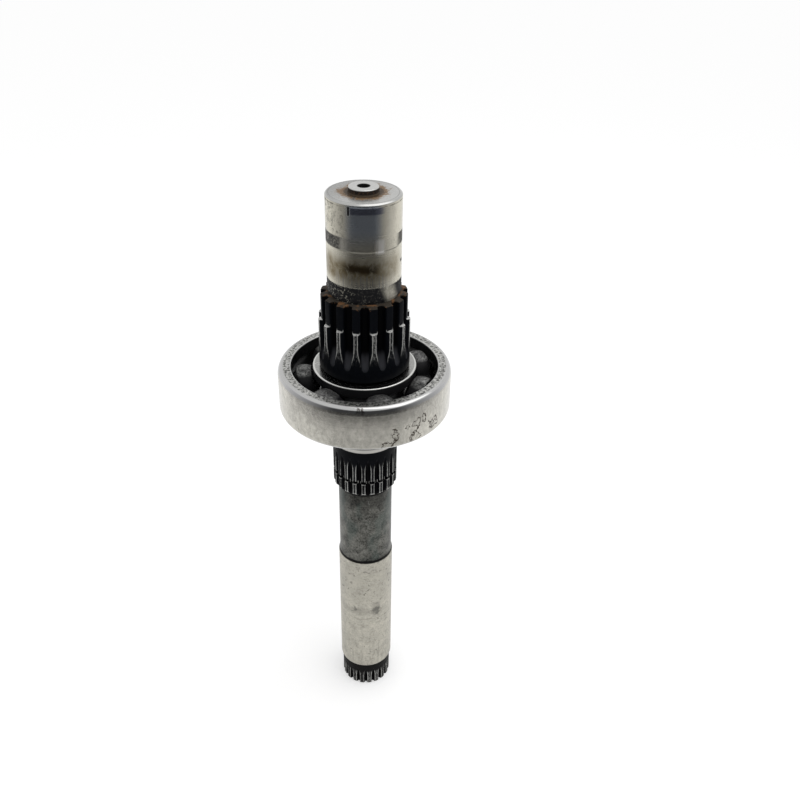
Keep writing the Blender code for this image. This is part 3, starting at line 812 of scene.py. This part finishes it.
TAIL_RADIUS, GROOVE_RADIUS = 10.85, 10.4
shaft_length("tail_journal", [
    (TAIL_RADIUS - 0.65, TAIL_START),
    (TAIL_RADIUS, TAIL_START + 0.85, 0.3),
    (TAIL_RADIUS, TAIL_TOP, 0.12),
    (GROOVE_RADIUS, TAIL_TOP, 0.08),
    (GROOVE_RADIUS, GROOVE_TOP),
], tail_finish())

# %% [markdown]
# The shank carries nothing, so it was never ground. Its skin from the hardening furnace is
# dark grey, matt and cloudy, with a hint of green. Its outline needs no lighter paint: a rough
# dark metal reflects more of the white room at a low angle by itself.

# %% Shank


def shank_finish():
    paint = Paint("furnace_grey_steel", 0.15)
    grain, ease = paint.grain, paint.ease
    cloud = grain(0.25, detail=6.0, rough=0.65)
    speckle = grain(1.3, detail=4.0, rough=0.75)
    scratch = grain(0.9, (1, 1, 0.25), detail=2.0, warp=2.0)
    green = ease(grain(0.12, (1, 1, 0.5), detail=2.0), 0.48, 0.62)
    # Painted shade: the shank is darker towards the hub spline, under which it stands
    shade = 1 - ease(paint.z, HUB_START - 11, HUB_START - 4) * 0.55
    mottle = 0.12 + ease(cloud, 0.38, 0.64) * 0.6 + ease(speckle, 0.3, 0.7)
    uneven = paint.z + (cloud - 0.5) * 0.8
    # Painted shade: black lines on the flare above the groove and just under the hub spline
    flare_shade_line = ease(uneven, GROOVE_TOP + 0.7, GROOVE_TOP + 0.3)
    shade_line = ease(uneven, HUB_START - 1.5, HUB_START - 0.9)
    colour = paint.coats(
        paint.tint((0.126, 0.125, 0.113), mottle * shade),
        ((0.060, 0.085, 0.078), green * 0.4),
        ((0.20, 0.20, 0.19), ease(scratch, 0.66, 0.72) * 0.5),
        ((0.008, 0.008, 0.008), flare_shade_line + shade_line))
    return paint.done(colour, 0.36 + speckle * 0.16, 1.0, cloud * 0.5 + speckle)


SHANK_RADIUS = 10.35
shaft_length("shank", [
    (SHANK_RADIUS + 0.35, GROOVE_TOP, 0.1),
    (SHANK_RADIUS, GROOVE_TOP + 1.6, 0.8),
    (SHANK_RADIUS, HUB_START),
], shank_finish())

# %% [markdown]
# The hub spline carries a gear or a clutch hub, which a snap ring in the groove kept in its
# place. Its teeth are chamfered at the lower end, so that the hub slides on, and the hob ran
# out at the upper end.

# %% Hub spline
HUB_RADIUS = 12.15
HUB_CHAMFER = 1.1
SNAP_LOW, SNAP_HIGH, SNAP_RADIUS = HUB_START + 5.9, HUB_START + 7.1, HUB_RADIUS - 0.95
SNAP_EDGE = ((0.15, 0.0), (0.05, 0.03), (0.0, 0.1))     # away from the groove, below the tips


def hub_rings(tooth):
    start = tooth.root - 0.1
    chamfer = [(HUB_START + share * HUB_CHAMFER, start + share * (HUB_RADIUS - start))
               for share in (0.0, 0.2, 0.4, 0.6, 0.8, 0.94)]
    low_edge = [(SNAP_LOW - away, HUB_RADIUS - down) for away, down in SNAP_EDGE]
    high_edge = [(SNAP_HIGH + away, HUB_RADIUS - down) for away, down in reversed(SNAP_EDGE)]
    return [
        *tooth.outlines(*chamfer, (HUB_START + HUB_CHAMFER + 0.15, HUB_RADIUS),
                        (HUB_START + 3.5, HUB_RADIUS), *low_edge, (SNAP_LOW, SNAP_RADIUS),
                        (SNAP_HIGH, SNAP_RADIUS), *high_edge),
        *tooth.run_out(HUB_END - tooth.run_out_length(), 1),
        *tooth.arcs((HUB_END + 0.6, HUB_RADIUS, 0.0), (SEAT_START, HUB_RADIUS, 0.0)),
    ]


def hub_marks(paint, speckle, cloud):
    """Bright lips across the lands, at the chamfer and at the lower side of the groove."""
    heights = ((HUB_START + 1.15, HUB_START + 1.50, 0.12), (SNAP_LOW - 0.30, SNAP_LOW + 0.02, 0.08))
    lip = bright_lip(paint, speckle, heights, (HUB_RADIUS - 0.30, HUB_RADIUS - 0.12)) * 0.8
    return [(WORN_BRIGHT, lip)], lip


hub_tooth = Tooth(22, HUB_RADIUS, 1.15, 0.55, [(HUB_RADIUS, 1.12)], soft=0.13)
spline_piece("hub_spline", hub_tooth, hub_rings(hub_tooth), (HUB_START, SEAT_START), -4.1,
             land_wear=0.10, edge_wear=0.95, rough_edge=0.6, edge_from=0.58, marks=hub_marks,
             worn_heights=(HUB_START, HUB_START + 0.6, HUB_END - 4.4, HUB_END - 1.6))

# %% [markdown]
# The seat is the ground cylinder that the bearing's inner ring is pressed on. A little of it
# shows below the bearing, with a dark line where the grinding began.

# %% Bearing seat


def seat_finish():
    paint = Paint("bearing_seat_steel", 0.15)
    lines = paint.grain(1.0, (0.06, 0.06, 5.0))
    cloud = paint.grain(0.4, detail=4.0)
    low = paint.ease(paint.z, SEAT_START + 0.55, SEAT_START + 0.25)
    dark_line = paint.band(paint.z, SEAT_START + 1.75, SEAT_START + 2.0, 0.12)
    black = (low + dark_line * 0.7 + paint.nook).at_most(1.0)
    steel = paint.tint((0.50, 0.49, 0.46), 0.8 + lines * 0.2 + cloud * 0.2)
    colour = paint.blend(steel, (0.02, 0.02, 0.02), black)
    return paint.done(colour, 0.3 + cloud * 0.1, 1 - black * 0.8, lines, depth=0.005)


SEAT_RADIUS = 12.5
shaft_length("bearing_seat", [
    (HUB_RADIUS, SEAT_START),
    (SEAT_RADIUS, SEAT_START + 0.35, 0.1),
    (SEAT_RADIUS, COLLAR_START),
], seat_finish())

# %% [markdown]
# The gear spline is the most worked form of the shaft: 16 deep teeth, which step down at a
# ledge to a smaller radius, slope off at their upper end, and run out below in a plain collar
# that stops the bearing. The ledge and the slope are turned, so they only lower the tips.

# %% Gear spline and collar
COLLAR_RADIUS = box_mm("shaft")[1].x
UPPER_RADIUS = COLLAR_RADIUS - 1.05
SLOPE_START, SLOPE_TIP = GEAR_END - 0.5, UPPER_RADIUS - 0.12
GEAR_EDGES = [                  # height and tip radius over the ledge and up to the slope
    (LEDGE - 0.2, COLLAR_RADIUS), (LEDGE - 0.06, COLLAR_RADIUS - 0.05), (LEDGE, COLLAR_RADIUS - 0.18),
    (LEDGE, UPPER_RADIUS + 0.12), (LEDGE + 0.05, UPPER_RADIUS + 0.03), (LEDGE + 0.15, UPPER_RADIUS),
    (SLOPE_START - 0.25, UPPER_RADIUS), (SLOPE_START, SLOPE_TIP),
]


def gear_rings(tooth):
    full = RUN_OUT_START + tooth.run_out_length()
    fall = SLOPE_TIP - tooth.root + 0.1
    slope = [(SLOPE_START + share * (GEAR_END - SLOPE_START), SLOPE_TIP - share * fall)
             for share in (0.2, 0.4, 0.6, 0.8, 1.0)]
    return [
        *tooth.arcs((COLLAR_START, COLLAR_RADIUS - 0.85, 0.0),
                    (COLLAR_START + 0.75, COLLAR_RADIUS - 0.1, 0.4),
                    (COLLAR_START + 0.95, COLLAR_RADIUS, 0.0),
                    (RUN_OUT_START - 0.6, COLLAR_RADIUS, 0.0)),
        *tooth.run_out(full, -1)[::-1],
        *tooth.outlines(((full + LEDGE) / 2, COLLAR_RADIUS), *GEAR_EDGES, *slope),
    ]


def gear_marks(paint, speckle, cloud):
    """Bright lips on the ledge, a painted highlight on the floors of the mouths, and rust on the slope at
    the upper end.
    """
    ease = paint.ease
    heights = [(LEDGE - 0.22, LEDGE + 0.06, 0.08)]
    lip = bright_lip(paint, speckle, heights, (UPPER_RADIUS - 0.05, UPPER_RADIUS + 0.1)) * 0.95
    # Painted highlight: the floors of the run-out mouths are painted lighter than the black round them
    mouth_highlight = paint.nook * (1 - paint.nook) * 4 * ease(paint.z, LEDGE - 7, LEDGE - 10)
    slope = ease(paint.z, GEAR_END - 0.62, GEAR_END - 0.45)
    rust = ease(paint.z + (speckle - 0.5) * 1.5, GEAR_END - 1.0, GEAR_END - 0.4)
    rust = rust * ease(cloud + speckle * 0.4, 0.70, 0.86)
    return [((0.66, 0.66, 0.64), lip), ((0.036, 0.037, 0.042), mouth_highlight),
            ((0.050, 0.042, 0.034), slope * 0.8), ((0.20, 0.10, 0.045), rust * 0.8)], lip


gear_tooth = Tooth(16, COLLAR_RADIUS, 3.2, 1.35, [(UPPER_RADIUS, 1.57), (COLLAR_RADIUS, 2.50)], soft=0.16)
spline_piece("gear_spline", gear_tooth, gear_rings(gear_tooth), (COLLAR_START, GEAR_END), -0.2,
             land_wear=0.45, edge_wear=0.8, rough_edge=1.5, marks=gear_marks,
             worn_heights=(RUN_OUT_START + 2.0, RUN_OUT_START + 8.5, LEDGE - 0.2, LEDGE + 0.9))

# %% [markdown]
# The bearing's rings are turned forms too, each with a race: a groove a little rounder than
# the balls. The balls' size and the circle that they run on come from the CAD nodes.

# %% Races
BALLS = [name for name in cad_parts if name.startswith("bearing_ball_")]
low, high = box_mm(BALLS[0])
BALL_RADIUS = (high.z - low.z) / 2
BEARING_MIDDLE = (high.z + low.z) / 2
BALL_CIRCLE = sum(((a + b) / 2).to_2d().length for a, b in map(box_mm, BALLS)) / len(BALLS)
TRACK_RADIUS = BALL_RADIUS * 1.04
RUN_GAP = 0.3
RACE_STEPS = 16
GREASE_BLACK = (0.012, 0.012, 0.013)


def race(side, shoulder):
    """Points of a race's section, upwards on the inner ring (side -1), downwards on the outer."""
    centre = BALL_CIRCLE + side * (BALL_RADIUS + RUN_GAP - TRACK_RADIUS)
    across = shoulder - centre
    reach = atan2(sqrt(TRACK_RADIUS ** 2 - across ** 2), abs(across))
    angles = [reach * (1 - 2 * step / RACE_STEPS) for step in range(RACE_STEPS + 1)]
    return [(centre + side * TRACK_RADIUS * cos(angle),
             BEARING_MIDDLE + side * TRACK_RADIUS * sin(angle)) for angle in angles]


def below_face(paint):
    """How far a point lies from the nearer side face of the bearing, inwards."""
    return (BEARING_HIGH - BEARING_LOW) / 2 - abs(paint.z - BEARING_MIDDLE)


def quarter(steps):
    """The angles of a quarter turn in equal steps, both ends included."""
    return [pi / 2 * step / steps for step in range(steps + 1)]


print("balls", len(BALLS), "radius", round(BALL_RADIUS, 3), "circle", round(BALL_CIRCLE, 3))

# %% [markdown]
# The outer ring's wall is pale and smooth. Towards its foot at the front it is painted darker: a
# painted reflection of the dark in front of it. Its corners are rounded and polished, and its side
# faces are etched by damp to a mottled grey, with a painted highlight along the edge of the bore.
# The wall has small outlined patches of rust: each is a loop round a given place, which noise bends
# and breaks, so that no two look alike. Inside, the ring is black with grease.

# %% Outer ring
OUTER_SHOULDER = BALL_CIRCLE + BALL_RADIUS * 0.72 + RUN_GAP
RING_RADIUS = box_mm("bearing_outer_ring")[1].x
LOW_CORNER = 1.8
CORNER_ACROSS, CORNER_DOWN = 1.9, 2.8    # the upper corner is rounded further down than across
RUST_PATCHES = [                         # turn, height, half width, half height, how filled
    (13.5, 1.9, 2.0, 1.4, 0.2), (18.5, 5.2, 1.0, 2.4, 0.5), (27.0, 7.6, 0.6, 0.6, 0.9),
    (33.0, 2.9, 2.2, 2.2, 0.2), (34.0, 8.2, 2.0, 1.7, 0.3), (39.5, 8.6, 0.9, 1.7, 0.9),
    (49.0, 5.0, 2.2, 2.3, 0.8),
]


def rust_loops(paint, bend, etch):
    """Thin closed loops round the patches' places, some of them partly filled."""
    loops = 0.0
    for turn, up, half_wide, half_tall, filled in RUST_PATCHES:
        across = (paint.turn - turn) * (radians(1) * RING_RADIUS / half_wide)
        rise = (paint.z - BEARING_LOW - up) / half_tall
        away = (across * across + rise * rise) ** 0.5 + bend * 3.0
        loop = paint.band(away, 0.74, 1.04, 0.08) * (0.55 + paint.ease(etch, 0.40, 0.52) * 0.45)
        loops = loop + paint.ease(away, 0.9, 0.7) * paint.ease(etch, 0.50, 0.58) * filled + loops
    return loops.at_most(1.0)


def outer_ring_finish():
    paint = Paint("outer_ring_steel", 0.12)
    z, radius, ease, band, grain = paint.z, paint.radius, paint.ease, paint.band, paint.grain
    lines = grain(1.0, (0.05, 0.05, 4.5))
    cloud = grain(0.16, detail=5.0, rough=0.6)
    etch = grain(1.1, (1, 1, 0.8), detail=5.0, rough=0.75)
    dirt = grain(0.5, (1, 1, 0.6), detail=5.0, rough=0.75, warp=0.4)
    bend = grain(0.55, rough=0.5, warp=0.3) - 0.5
    wall = ease(radius, RING_RADIUS - 0.25, RING_RADIUS - 0.05)
    face = ease(below_face(paint), 0.20, 0.05)
    bore = ease(radius - BALL_CIRCLE - BALL_RADIUS, 1.2, 0.9)
    inside = bore * ease(below_face(paint), 0.02, 0.45)

    rust = rust_loops(paint, bend, etch) * wall
    pits = ease(grain(0.8, rough=0.6), 0.70, 0.74) * wall
    nick_turn = paint.turn + (etch - 0.5) * 9
    nick = band(nick_turn, -5.6, -4.6, 0.4) + band(nick_turn, -3.2, -1.9, 0.5)
    nick = nick * band(z + bend * 3, BEARING_HIGH - 2.1, BEARING_HIGH - 0.4, 0.3)

    mottle = ease(dirt, 0.3, 0.7) * 0.32 + ease(etch, 0.3, 0.7) * 0.18 + lines * 0.08
    # Painted reflection: the wall is painted darker towards its foot at the front, less beside it
    beside_front = ease(abs(paint.turn), 12, 40)
    front_reflection_shade = 1 - ease(z, BEARING_HIGH - 4.5, BEARING_LOW + 2) * (0.36 - beside_front * 0.34)
    steel = paint.tint((0.53, 0.514, 0.462), (0.48 + cloud * 0.34 + mottle) * front_reflection_shade)
    etched = paint.tint((0.48, 0.48, 0.46), ease(etch, 0.40, 0.58) + 0.10)
    rim = ease(radius, RING_RADIUS - CORNER_ACROSS - 0.15, RING_RADIUS - CORNER_ACROSS + 0.05)
    # Painted highlight: the face is painted pale along the bore's edge
    lip = ease(radius, OUTER_SHOULDER + 0.6, OUTER_SHOULDER + 0.4)
    colour = paint.coats(
        (0.46, 0.46, 0.455),
        (steel, wall),
        (etched, face * (1 - rim)),
        ((0.50, 0.50, 0.49), lip * 0.8),
        ((0.040, 0.030, 0.021), (rust + pits * 0.6 + nick * 0.9).at_most(1.0)),
        (GREASE_BLACK, inside))
    roughness = 0.12 + wall * 0.10 + face * (0.18 + etch * 0.2) + inside * 0.2
    metallic = 1 - (inside * 0.9 + rust * 0.6).at_most(0.9)
    return paint.done(colour, roughness, metallic, etch * face - rust - pits + lines * 0.3)


low_corner = [(RING_RADIUS - LOW_CORNER * (1 - sin(a)), BEARING_LOW + LOW_CORNER * (1 - cos(a)))
              for a in quarter(8)]
high_corner = [(RING_RADIUS - CORNER_ACROSS * (1 - cos(a)), BEARING_HIGH - CORNER_DOWN * (1 - sin(a)))
               for a in quarter(12)]
outer_ring = turned([
    *low_corner,
    *high_corner,
    (OUTER_SHOULDER, BEARING_HIGH, 0.5),
    *race(1, OUTER_SHOULDER),
    (OUTER_SHOULDER, BEARING_LOW, 0.5),
], closed=True)
piece("outer_ring", outer_ring, outer_ring_finish(), RING_BODY, ["bearing_outer_ring"])

# %% [markdown]
# The inner ring turns with the shaft. Its edge is the one bright line between the black
# grease and the black collar, so its rounding matters more than the rest of it.

# %% Inner ring
INNER_SHOULDER = BALL_CIRCLE - BALL_RADIUS * 0.513 - RUN_GAP
INNER_BORE = SEAT_RADIUS + 0.1


def inner_ring_finish():
    paint = Paint("inner_ring_steel", 0.12)
    ease = paint.ease
    etch = paint.grain(1.2, detail=4.0, rough=0.7)
    ends = ease(below_face(paint), 0.5, 0.12)
    face = ends * ease(paint.radius, INNER_SHOULDER - 0.45, INNER_SHOULDER - 0.9)
    steel = paint.tint((0.60, 0.60, 0.58), 0.8 + etch * 0.4)
    bright = paint.blend(steel, (0.30, 0.30, 0.29), face * ease(etch, 0.2, 0.5))
    colour = paint.blend(GREASE_BLACK, bright, ends)
    return paint.done(colour, 0.36 - ends * 0.12, ends * 0.9 + 0.1, etch, depth=0.008)


inner_ring = turned([
    (INNER_BORE, BEARING_LOW, 1.1),
    (INNER_SHOULDER, BEARING_LOW, 0.5),
    *race(-1, INNER_SHOULDER),
    (INNER_SHOULDER, BEARING_HIGH, 0.5),
    (INNER_BORE, BEARING_HIGH, 1.1),
], closed=True)
piece("inner_ring", inner_ring, inner_ring_finish(), SHAFT_BODY, ["bearing_inner_ring"])

# %% [markdown]
# Each ball is carried by a body of its own, because it rolls. An icosphere spreads its faces
# evenly, so no pole shows when the ball turns. The balls are dark with old grease.

# %% Balls


def ball_finish():
    paint = Paint("greasy_ball_steel", 0.12)
    speckle = paint.grain(1.5, rough=0.7)
    grease = paint.ease(paint.grain(0.3) + speckle * 0.3, 0.5, 0.75)
    colour = paint.blend((0.10, 0.10, 0.105), GREASE_BLACK, grease)
    return paint.done(colour, 0.16 + grease * 0.3, 1 - grease * 0.8, speckle, depth=0.006)


ball_steel = ball_finish()
for node in sorted(BALLS):
    low, high = box_mm(node)
    ball = bmesh.new()
    bmesh.ops.create_icosphere(ball, subdivisions=4, radius=BALL_RADIUS * MM)
    bmesh.ops.translate(ball, verts=ball.verts, vec=(low + high) / 2 * MM)
    mesh = bpy.data.meshes.new(node)
    ball.to_mesh(mesh)
    ball.free()
    number = node.rsplit("_", 1)[1]
    piece(f"ball_{number}", mesh, ball_steel, f"ball_{number}_body", [node])

# %% [markdown]
# The cage is pressed from strip: a ribbon that runs flat between the balls and arches over
# each one. Its rule is the higher of two surfaces, the flat and a sphere round the ball, and
# a power mean of the two gives the soft fold that a press leaves. One pocket is drawn, and
# the same tree as for the teeth repeats it. The halves are mirror images.

# %% Cage halves
STRIP = 0.8                 # the ribbon's thickness
POCKET_GAP = 0.55
HALF_GAP = 0.15             # from the middle plane to each half
STRIP_HALF_WIDTH = BALL_RADIUS * 0.452
FOLD = 7.0                  # the power of the mean: a larger one folds more sharply
EDGE_TRIM = 0.18
WIDTHS = (-1, -0.96, -0.75, -0.4, 0, 0.4, 0.75, 0.96, 1)
low, high = box_mm(BALLS[0])
BALL_CLOCK = atan2((low.y + high.y) / 2, (low.x + high.x) / 2)


def strip_height(off, sphere, flat):
    """The ribbon's height over the middle plane, at a distance from the ball's centre."""
    dome = sqrt(max(sphere ** 2 - off ** 2, 0.0))
    return (dome ** FOLD + flat ** FOLD) ** (1 / FOLD)


def pocket_mesh(side):
    inside = BALL_RADIUS + POCKET_GAP
    outside = inside + STRIP
    sweep = [asin(sin(angle) * outside / BALL_CIRCLE) for angle in quarter(14)]
    flat = pi / len(BALLS) - sweep[-1]
    sweep += [sweep[-1] + flat * share for share in (0.15, 0.4, 0.7, 1.0)]
    skin = Skin()
    sections = []
    for turn in [-turn for turn in reversed(sweep[1:])] + sweep:
        upper, lower = [], []
        for width in WIDTHS:
            radius = BALL_CIRCLE + STRIP_HALF_WIDTH * width
            trim = EDGE_TRIM if abs(width) == 1 else 0.0
            mark = 0.6 if abs(width) > 0.9 else 0.0
            off = (Vector(polar(radius, turn, 0)) - Vector((BALL_CIRCLE, 0, 0))).length
            bottom = strip_height(off, inside, HALF_GAP) + trim
            top = strip_height(off, outside, HALF_GAP + STRIP) - trim
            lower.append((polar(radius, turn, BEARING_MIDDLE + side * bottom), mark))
            upper.append((polar(radius, turn, BEARING_MIDDLE + side * top), mark))
        sections.append((upper + lower[::-1])[::side])
    for first, second in zip(sections, sections[1:]):
        skin.band(first, second)
    return skin.finish("pocket")


def cage_finish():
    paint = Paint("pressed_cage_steel", 0.12)
    cloud = paint.grain(0.35, detail=5.0, rough=0.65)
    speckle = paint.grain(1.6, detail=4.0, rough=0.75)
    # Grease, and painted shade: the cage is black towards the middle plane, deep between the rings, and
    # grey on the domes' tops
    low = paint.ease(abs(paint.z - BEARING_MIDDLE) + (cloud - 0.5) * 3, 6.2, 4.6)
    grease = (paint.ease(cloud + speckle * 0.3, 0.52, 0.80) * 0.8 + low).at_most(1.0)
    steel = paint.tint((0.20, 0.20, 0.195), 0.1 + paint.ease(speckle, 0.32, 0.68) * 1.5)
    colour = paint.blend(steel, (0.010, 0.010, 0.011), grease)
    return paint.done(colour, 0.42 + speckle * 0.15, 1 - grease * 0.9, speckle)


cage_steel = cage_finish()
for half, side in (("upper", 1), ("lower", -1)):
    ribbon = repeated(pocket_mesh(side), len(BALLS), BALL_CLOCK, cage_steel)
    piece(f"cage_{half}", ribbon, cage_steel, CAGE_BODY, [f"cage_{half}_half"])

# %% [markdown]
# Seven rivets hold the halves together, between the pockets. They are small turned forms, and
# the tree repeats them as well.

# %% Rivets
RIVET_RADIUS, RIVET_HEAD, RIVET_RISE = 0.85, 1.6, 0.75


def rivet_mesh():
    under = HALF_GAP + STRIP + 0.01
    dome = [(RIVET_HEAD * cos(a), under + RIVET_RISE * sin(a)) for a in quarter(5)]
    upper = [(RIVET_RADIUS, under)] + dome
    lower = [(radius, -z) for radius, z in reversed(upper)]
    mesh = turned(lower + upper, segments=24)
    mesh.transform(Matrix.Translation(Vector((BALL_CIRCLE, 0, BEARING_MIDDLE)) * MM))
    return mesh


rivets = repeated(rivet_mesh(), len(BALLS), BALL_CLOCK + pi / len(BALLS), cage_steel)
piece("cage_rivets", rivets, cage_steel, CAGE_BODY,
      [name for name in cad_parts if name.startswith("cage_rivet_")])

# %% [markdown]
# Steel is a mirror, so most of its look is the room. The photograph has a white table and a
# bright white room, with one dark thing in it: whoever held the camera. The room is white
# to the camera and to reflections, and lights the piece a little less than that. A bent dark
# card, which only reflections see, stands in for the photographer.

# %% Floor, room, lamp and card
ROOM_LIGHT = 0.80
FLOOR_GLOW = 0.34


def white_to(tree, plain, most=1.0):
    """A number that is most for what looks at the background and plain for what it lights."""
    path = add_node(tree, "ShaderNodeLightPath")
    looks = path["Is Camera Ray"]
    for ray in ("Is Glossy Ray", "Is Transmission Ray"):
        looks = add_node(tree, "ShaderNodeMath", {0: looks, 1: path[ray]}, operation="MAXIMUM")[0]
    return add_node(tree, "ShaderNodeMapRange", {"Value": looks, "To Min": plain, "To Max": most})[0]


world = bpy.data.worlds.new("white_room")
world.use_nodes = True
background = world.node_tree.nodes["Background"]
strength = white_to(world.node_tree, ROOM_LIGHT)
feed(world.node_tree, background.inputs, {"Color": (1, 1, 1, 1), "Strength": strength})
bpy.context.scene.world = world


def floor_finish():
    made = bpy.data.materials.new("pale_floor")
    made.use_nodes = True
    glow = white_to(made.node_tree, 0.0, most=FLOOR_GLOW)
    feed(made.node_tree, made.node_tree.nodes["Principled BSDF"].inputs, {
        "Base Color": (0.80, 0.80, 0.80, 1), "Roughness": 0.9, "Specular IOR Level": 0.0,
        "Emission Color": (1, 1, 1, 1), "Emission Strength": glow})
    return made


def stage_piece(name, corners, faces, finish):
    mesh = bpy.data.meshes.new(name)
    mesh.from_pydata(corners, [], faces)
    mesh.materials.append(finish)
    made = placed(name, mesh)
    return made


stage_piece("floor", [(-4, -4, 0), (4, -4, 0), (4, 4, 0), (-4, 4, 0)], [(0, 1, 2, 3)], floor_finish())

FLAG_RADIUS, FLAG_HEIGHT, FLAG_REACH, FLAG_STEPS = 250, 330, 114, 48
FLAG_AIM = -2               # the flag's darkest azimuth, in degrees from the front


def flag_finish():
    """Black at the front, and lighter by azimuth to its ends, as its glow shows in a reflection."""
    paint = Paint("flag_cloth", 0.0)
    share = paint.node("ShaderNodeMapRange", {"Value": abs(paint.turn - FLAG_AIM), "From Min": 34.0,
                                              "From Max": 112.0})
    top = paint.ease(paint.z, FLAG_HEIGHT - 70, FLAG_HEIGHT)
    shade = (0.075 + (share ** 1.15) * 0.9 + top * 0.4).at_most(1.0)
    glow = paint.tint((1.0, 1.0, 1.02), shade)
    feed(paint.tree, paint.surface.inputs, {"Emission Color": glow, "Emission Strength": 1.0})
    return paint.done((0.0, 0.0, 0.0, 1.0), 1.0, 0.0, 0.0)


turns = [radians(FLAG_REACH * (2 * i / FLAG_STEPS - 1)) for i in range(FLAG_STEPS + 1)]
corners = [(FLAG_RADIUS * sin(a) * MM, -FLAG_RADIUS * cos(a) * MM, z * MM)
           for z in (0, FLAG_HEIGHT) for a in turns]
faces = [(i, i + 1, i + FLAG_STEPS + 2, i + FLAG_STEPS + 1) for i in range(FLAG_STEPS)]
flag = stage_piece("dark_flag", corners, faces, flag_finish())
flag.visible_camera = flag.visible_shadow = flag.visible_diffuse = False

lamp = bpy.data.lights.new("soft_lamp", "AREA")
lamp.size = 0.5
lamp.energy = 1.0
above = placed("soft_lamp", lamp)
above.location = (0.20, -0.05, 0.65)
above.rotation_euler = (Vector((0, 0, 0.12)) - above.location).to_track_quat("-Z", "Y").to_euler()
bpy.context.scene.view_settings.view_transform = "Standard"
print("stage ready")
